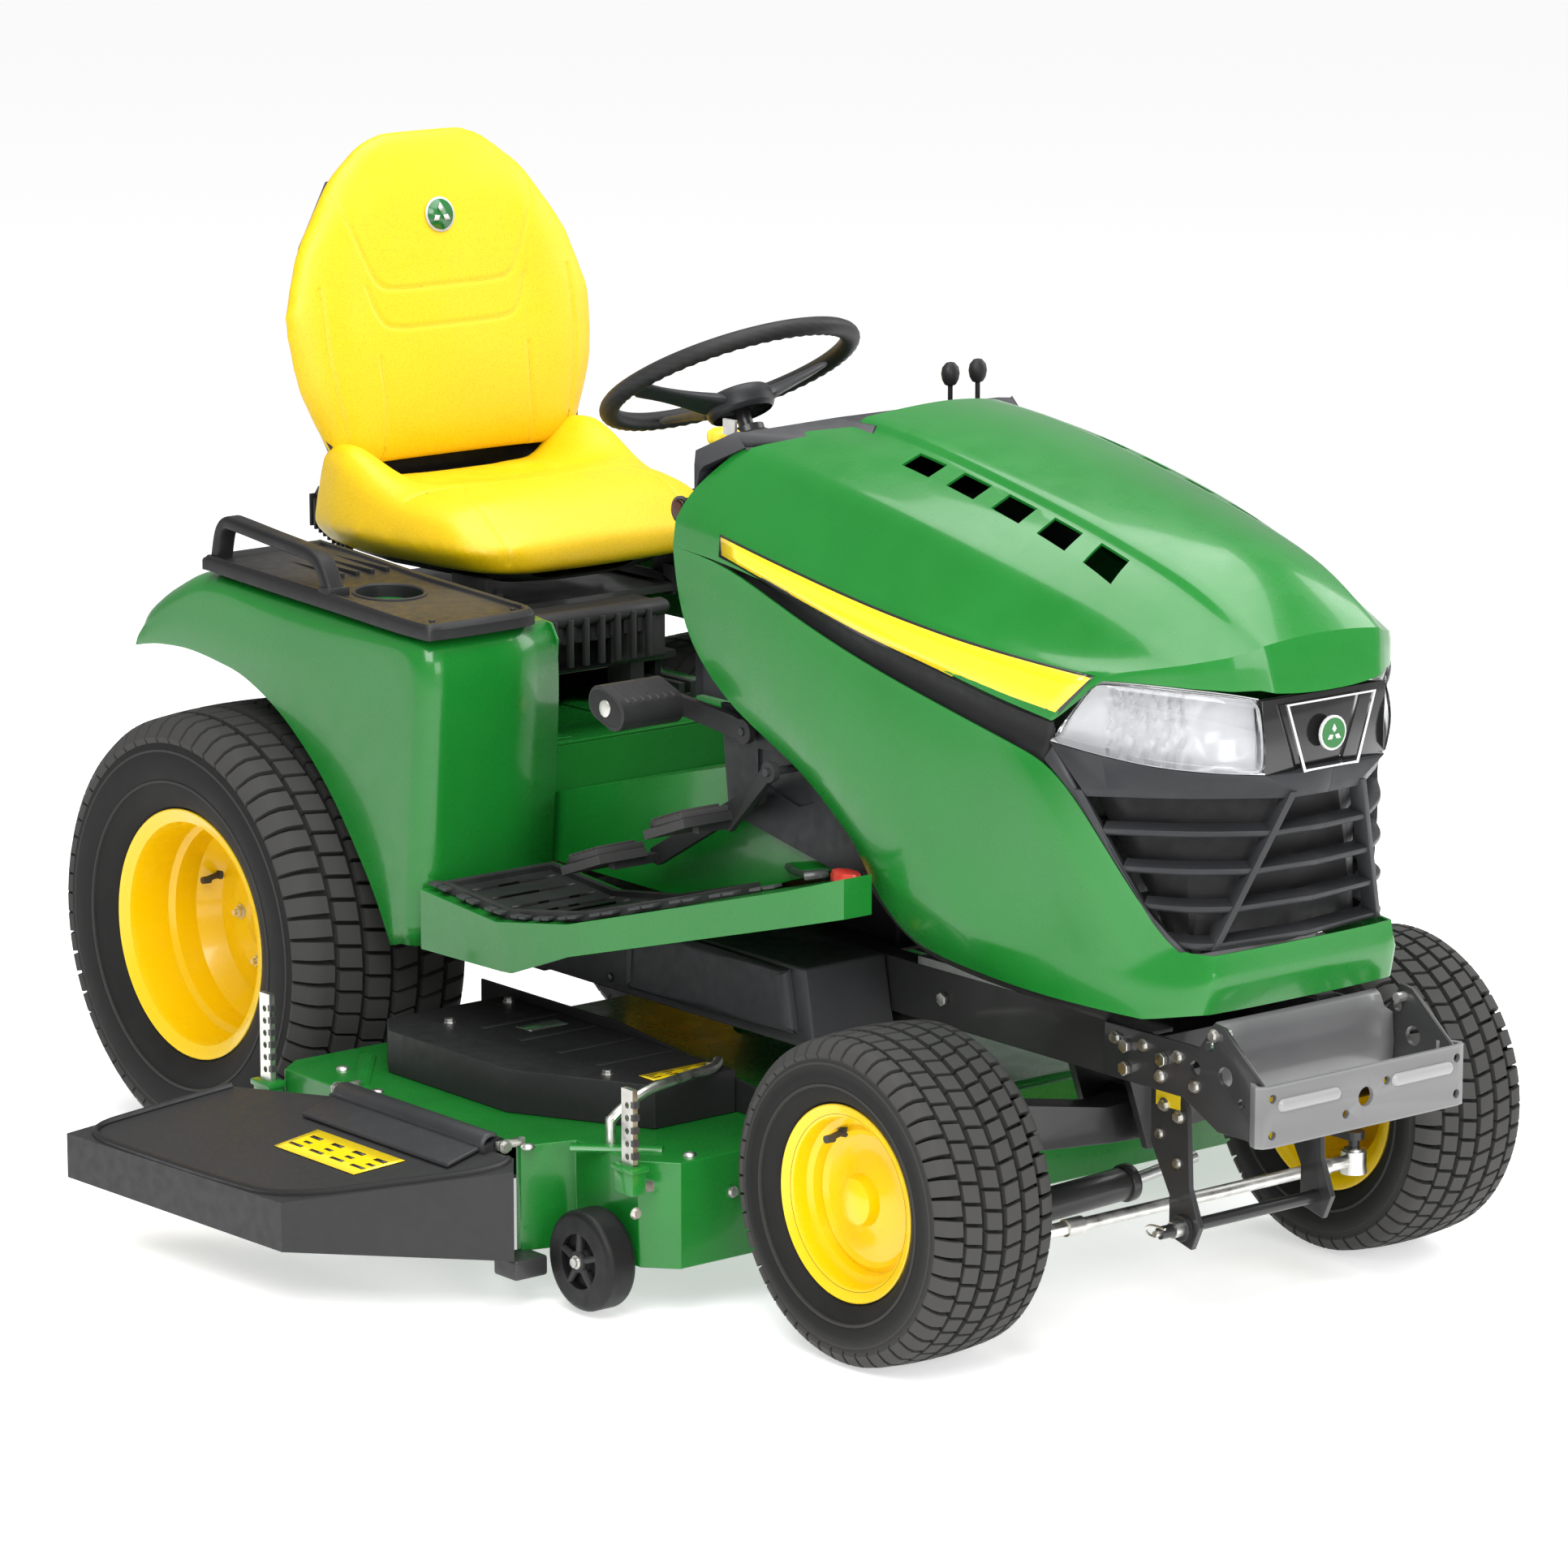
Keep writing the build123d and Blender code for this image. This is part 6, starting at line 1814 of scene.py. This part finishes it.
def makeSteeringWheel():
    # a padded rim with finger ribs below, three dished spokes and a flat hub
    radius, tube = wheelSizes["radius"], wheelSizes["tube"]
    bm = bmesh.new()
    rings = []
    for i in range(120):
        a = 2 * math.pi * i / 120
        pinch = 0.6 if i % 2 else 0.0
        ring = []
        for j in range(18):
            b = 2 * math.pi * j / 18
            below = math.sin(b) < -0.15
            r = tube - (pinch * 2.4 if below else 0)
            reach = radius + r * math.cos(b)
            ring.append(wheelPoint(reach * math.cos(a), reach * math.sin(a), r * 0.94 * math.sin(b)))
        rings.append(ring)
    addLoft(bm, rings + rings[:1])
    finishPiece(bm, "steering_rim", "steering_wheel", "grip", nodes=("steering_wheel",))
    bm = bmesh.new()
    for turnBy in (0, 90, 180):
        a = math.radians(turnBy)
        rings = []
        for r, half, high, low in ((26, 30, -26, -50), (48, 27, -24, -44), (80, 19, -17, -32),
                                   (112, 16, -9, -22), (136, 18, -3, -14), (153, 24, 2, -8)):
            ring = []
            for u, w in ((-1, 0.3), (-0.8, 0.75), (-0.35, 1), (0.35, 1), (0.8, 0.75), (1, 0.3), (0.9, 0),
                         (0, 0.1), (-0.9, 0)):
                across, up = u * half, low + (high - low) * w
                ring.append(wheelPoint(r * math.cos(a) - across * math.sin(a),
                                       r * math.sin(a) + across * math.cos(a), up))
            rings.append(ring)
        addLoft(bm, rings, capped=True)
    rings = []
    for r, w in ((40, -56), (46, -52), (46, -34), (43, -27), (36, -24), (24, -22.5), (20, -24), (2, -24)):
        rings.append([wheelPoint(r * math.cos(a), r * math.sin(a), w)
                      for a in turns(48)])
    addLoft(bm, rings)
    finishPiece(bm, "steering_spokes", "steering_wheel", "greyPlastic", smooth=1, angle=40)
    bm = bmesh.new()
    rings = [[wheelPoint(r * math.cos(a), r * math.sin(a), w)
              for a in turns(40)] for r, w in
             ((19, -24), (18, -21), (14, -19.5), (1, -19))]
    addLoft(bm, rings)
    finishPiece(bm, "steering_cap", "steering_wheel", "blackGloss")
    bm = bmesh.new()
    for k in range(7):
        w = -92 - 11 * k
        rings = [[wheelPoint(r * math.cos(a), r * math.sin(a), w + d)
                  for a in turns(32)] for r, d in
                 ((24, 0), (29, 2), (29, 6), (24, 9))]
        addLoft(bm, rings)
    finishPiece(bm, "column_boot", "column", "grip")


def makeDashTrim():
    # rim of the pod, a dial with its needle, rocker switches, knob collars and the amber lens
    bm = bmesh.new()
    dash = skinTree(frame["nodes"]["dash_cowl"])
    down = Vector((0, 0, -1))

    def top(x, y, lift=0.0):
        hit = dash.ray_cast(at(x, y, 1300), down)[0]
        return (hit or at(x, y, 1000)) + Vector((0, 0, lift))

    for radius, finish, name, lift in ((44, "greyPlastic", "dial_rim", 0.002),
                                       (38, "blackGloss", "dial_face", 0.004)):
        bm = bmesh.new()
        bmesh.ops.create_cone(bm, cap_ends=True, segments=48, radius1=radius / 1000,
                              radius2=(radius - 3) / 1000, depth=0.008)
        spot = top(0, -700, lift)
        normal = dash.ray_cast(at(0, -700, 1300), down)[1] or Vector((0, 0, 1))
        turn = normal.to_track_quat("Z", "Y").to_matrix().to_4x4()
        bmesh.ops.transform(bm, verts=bm.verts, matrix=Matrix.Translation(spot) @ turn)
        softenEdges(bm, 0.001)
        finishPiece(bm, name, "chassis", finish, "black_plastic")
    bm = bmesh.new()
    for k in range(11):
        a = math.radians(-40 + 26 * k)
        x, y = 30 * math.cos(a), 26 * math.sin(a)
        addRod(bm, top(x, -700 + y, 0.009), top(x * 0.86, -700 + y * 0.86, 0.009), 0.0008, steps=6)
    addRod(bm, top(0, -700, 0.0095), top(-17, -688, 0.0095), 0.0011, steps=6)
    finishPiece(bm, "dial_marks", "chassis", "silverFilm")
    bm = bmesh.new()
    for x in (72, 96, 120):
        spot = top(x, -700, 0.003)
        made = bmesh.ops.create_cube(bm, size=1)["verts"]
        bmesh.ops.scale(bm, verts=made, vec=(0.016, 0.026, 0.010))
        bmesh.ops.rotate(bm, verts=made, cent=(0, 0, 0), matrix=Matrix.Rotation(math.radians(-22), 3, "X"))
        bmesh.ops.translate(bm, verts=made, vec=spot)
    softenEdges(bm, 0.002)
    finishPiece(bm, "rocker_switches", "chassis", "blackGloss")
    bm = bmesh.new()
    for x, y, r in ((-150, -668, 21), (-196, -738, 14)):
        spot = top(x + r, y, 0.001)
        spot.x = at(x, 0, 0).x
        addRod(bm, spot - Vector((0, 0, 0.006)), spot + Vector((0, 0, 0.004)), r / 1000, steps=32)
    softenEdges(bm, 0.0015)
    finishPiece(bm, "knob_collars", "chassis", "blackPlastic")
    bm = bmesh.new()
    addRod(bm, at(-262, -715, 933), at(-236, -715, 933), 0.0145, steps=32)
    softenEdges(bm, 0.003, 3)
    finishPiece(bm, "dash_side_lens", "chassis", "amberLens")
    bm = bmesh.new()
    addRod(bm, at(-257.5, -715, 933), at(-254, -715, 933), 0.018, steps=32)
    finishPiece(bm, "dash_side_lens_rim", "chassis", "blackGloss")


def makeKnob():
    # the pull knob: a waisted mushroom with finger flutes
    bm = bmesh.new()
    rings = []
    for z, r in ((950, 6), (992, 6), (994, 13), (998, 16), (1002, 20), (1009, 22), (1015, 20.5), (1019, 15),
                 (1020, 4)):
        rings.append([at(-150 + (r - (1.2 if i % 6 < 2 and r > 15 else 0)) * math.cos(a),
                         -668 + (r - (1.2 if i % 6 < 2 and r > 15 else 0)) * math.sin(a), z)
                      for i, a in enumerate(turns(48))])
    addLoft(bm, rings, capped=True)
    finishPiece(bm, "power_knob", "pto_knob", "yellowPlastic", nodes=("pto_knob",))
    for name, x in (("throttle_lever", 150), ("lift_lever", 196)):
        bm = bmesh.new()
        rings = []
        for z, r in ((940, 3.5), (1054, 3.5), (1056, 8), (1062, 11.5), (1070, 13), (1078, 11.5), (1084, 6),
                     (1085, 1)):
            rings.append([at(x + r * math.cos(a), -755 + 0.8 * r * math.sin(a), z)
                          for a in turns(28)])
        addLoft(bm, rings, capped=True)
        finishPiece(bm, name + "_grip", name, "blackPlastic", nodes=(name,), slot="grey_plastic")


def makePedals():
    # a D-section brake bar with tread ribs and a bright end, and two ribbed rubber pads
    bm = bmesh.new()
    rings = []
    for x in (-357, -352, -300, -262):
        ring = []
        grow = -3 if x == -357 else 0
        for i in range(28):
            a = 2 * math.pi * i / 28
            y, z = (37 + grow) * math.cos(a), (22 + grow) * math.sin(a)
            tilt = math.radians(20)
            ring.append(at(x, -690 + y * math.cos(tilt) - z * math.sin(tilt),
                           690 + y * math.sin(tilt) + z * math.cos(tilt)))
        rings.append(ring)
    addLoft(bm, rings, capped=True)
    for k in range(7):
        x = -346 + 12 * k
        addBox(bm, (x, x + 5), (-716, -672), (702, 712),
               Matrix.Translation(at(0, -690, 690)) @ Matrix.Rotation(math.radians(20), 4, "X")
               @ Matrix.Translation(-at(0, -690, 690)))
    softenEdges(bm, 0.0015, 2, 50)
    finishPiece(bm, "brake_bar", "brake_pedal", "grip", "black_rubber", nodes=())
    bm = bmesh.new()
    addRod(bm, at(-359, -690, 690), at(-355, -690, 690), 0.011, steps=24)
    softenEdges(bm, 0.001)
    finishPiece(bm, "brake_bar_end", "brake_pedal", "zinc")
    for word, y, z in (("forward", -650, 484), ("reverse", -820, 560)):
        bm = bmesh.new()
        turn = (Matrix.Translation(at(-330, y, z)) @ Matrix.Rotation(math.radians(-20), 4, "X"))
        outline = [(-38, -40), (38, -40), (40, 10), (30, 36), (0, 44), (-30, 36), (-40, 10)]
        addPlate(bm, [turn @ Vector((u / 1000, v / 1000, 0.006)) for u, v in outline],
                 turn.to_3x3() @ Vector((0, 0, 0.008)))
        for k in range(6):
            made = bmesh.ops.create_cube(bm, size=1)["verts"]
            bmesh.ops.scale(bm, verts=made, vec=(0.062, 0.005, 0.005))
            bmesh.ops.transform(bm, verts=made, matrix=turn @ Matrix.Translation((0, -0.03 + 0.0115 * k,
                                                                                  0.0155)))
        softenEdges(bm, 0.0015, 2, 40)
        finishPiece(bm, word + "_pad", word + "_pedal", "grip")


makeSteeringWheel()
makeDashTrim()
makeKnob()
makePedals()
print("dash and controls made")

# the carried-over parts: edges rounded and finished

restFinish = {
    "green_paint": "green", "yellow_paint": "yellowPaint", "black_plastic": "blackPlastic",
    "grey_plastic": "greyPlastic", "black_steel": "blackPaint", "grey_steel": "greyPaint",
    "zinc_steel": "zinc", "cast_alloy": "alloy", "black_rubber": "grip", "clear_lens": "clearLens",
    "reflector": "chrome", "red_lens": "redLens", "yellow_plastic": "yellowPlastic", "yellow_film": "film",
    "yellow_vinyl": "vinyl", "tyre_rubber": "tyre",
}
edgeWidth = {"chute": 5.0, "deck_shell": 3.0, "belt_covers": 3.0, "fender_deck": 3.0, "footrest": 5.0,
             "side_tanks": 4.0, "transaxle": 2.0, "engine": 2.0, "battery": 2.0, "dash_cowl": 5.0,
             "fender_consoles": 2.5, "seat_box": 2.0}


def tuckCowl(bm):  # the instrument pod narrows and the cowl's front edge dips under the hood
    for v in bm.verts:
        x, y, z = (v.co.x - middleX) * 1000, (v.co.y - axleY) * 1000, v.co.z * 1000
        if z > 1000 and y < -780:
            if abs(x) > 90:
                v.co.z -= (abs(x) - 90) * 0.00055 * easeIn(780, 860, -y)
            v.co.x = middleX + (v.co.x - middleX) * (1 - 0.22 * easeIn(1040, 1080, z))


def roundNode(node):  # a merged copy of a CAD node with rounded edges, in its place
    bm = bmesh.new()
    bm.from_mesh(frame["nodes"][node].data)
    bmesh.ops.remove_doubles(bm, verts=bm.verts, dist=0.00005)
    bmesh.ops.dissolve_limit(bm, angle_limit=math.radians(0.6), verts=bm.verts, edges=bm.edges)
    if node == "dash_cowl":
        tuckCowl(bm)
    softenEdges(bm, edgeWidth.get(node, 1.0) / 1000, 2, 35)
    finish = restFinish[slotOf[node]]
    return evenNormals(finishPiece(bm, node + "_finished", bodyOf[node], finish, nodes=(node,),
                                   outward=False))


for node, cadObject in frame["nodes"].items():
    if not cadObject.hide_render:
        roundNode(node)
print("remaining parts rounded")

# floor, lights and camera

stage = {
    "eye": (-5214.5, -7011.3, 2337.5), "yaw": 0.6831, "pitch": -0.2154, "lens": 150.0, "sensor": 36.0,
    "floorSize": 60, "world": 0.42, "glow": 0.55,
}


def makeStage():
    bm = bmesh.new()
    bmesh.ops.create_grid(bm, x_segments=1, y_segments=1, size=stage["floorSize"])
    mesh = bpy.data.meshes.new("studio_floor")
    bm.to_mesh(mesh)
    bm.free()
    floor = bpy.data.objects.new("studio_floor", mesh)
    bpy.context.scene.collection.objects.link(floor)
    finish, tree, shader = newFinish("pale_floor")
    shader.inputs["Base Color"].default_value = (0.93, 0.93, 0.93, 1)
    shader.inputs["Roughness"].default_value = 0.7
    shader.inputs["Emission Color"].default_value = (1, 1, 1, 1)
    shader.inputs["Emission Strength"].default_value = stage["glow"]
    mesh.materials.append(finish)
    world = bpy.data.worlds.new("studio")
    world.use_nodes = True
    world.node_tree.nodes["Background"].inputs["Color"].default_value = (1, 1, 1, 1)
    tree = world.node_tree
    ray = tree.nodes.new("ShaderNodeLightPath")
    level = addRange(tree, ray.outputs["Is Camera Ray"], stage["world"], 1.0, 0, 1)
    tree.links.new(level.outputs["Result"], tree.nodes["Background"].inputs["Strength"])
    bpy.context.scene.world = world


def addLight(name, place, target, size, power):
    lamp = bpy.data.lights.new(name, "AREA")
    lamp.shape, lamp.size, lamp.size_y, lamp.energy = "RECTANGLE", size[0], size[1], power
    light = bpy.data.objects.new(name, lamp)
    bpy.context.scene.collection.objects.link(light)
    light.location = place
    light.rotation_mode = "QUATERNION"
    light.rotation_quaternion = (target - place).to_track_quat("-Z", "Y")


def makeCamera():
    data = bpy.data.cameras.new("camera")
    camera = bpy.data.objects.new("camera", data)
    bpy.context.scene.collection.objects.link(camera)
    data.lens, data.sensor_width, data.clip_end = stage["lens"], stage["sensor"], 200
    camera.location = at(*stage["eye"])
    yaw, pitch = stage["yaw"], stage["pitch"]
    look = Vector((math.sin(yaw) * math.cos(pitch), math.cos(yaw) * math.cos(pitch), math.sin(pitch)))
    camera.rotation_mode = "QUATERNION"
    camera.rotation_quaternion = look.to_track_quat("-Z", "Y")
    bpy.context.scene.camera = camera


bpy.context.scene.view_settings.view_transform = "Standard"
makeStage()
target = at(0, -600, 500)
addLight("key", at(-3200, -3800, 4200), target, (3.0, 3.0), 240)
addLight("top", at(300, -700, 4300), target, (3.5, 3.5), 170)
addLight("side", at(3800, -1500, 2500), target, (2.5, 2.5), 70)
addLight("front", at(-800, -5200, 1700), target, (2.2, 1.6), 60)
makeCamera()

print("scene ready")
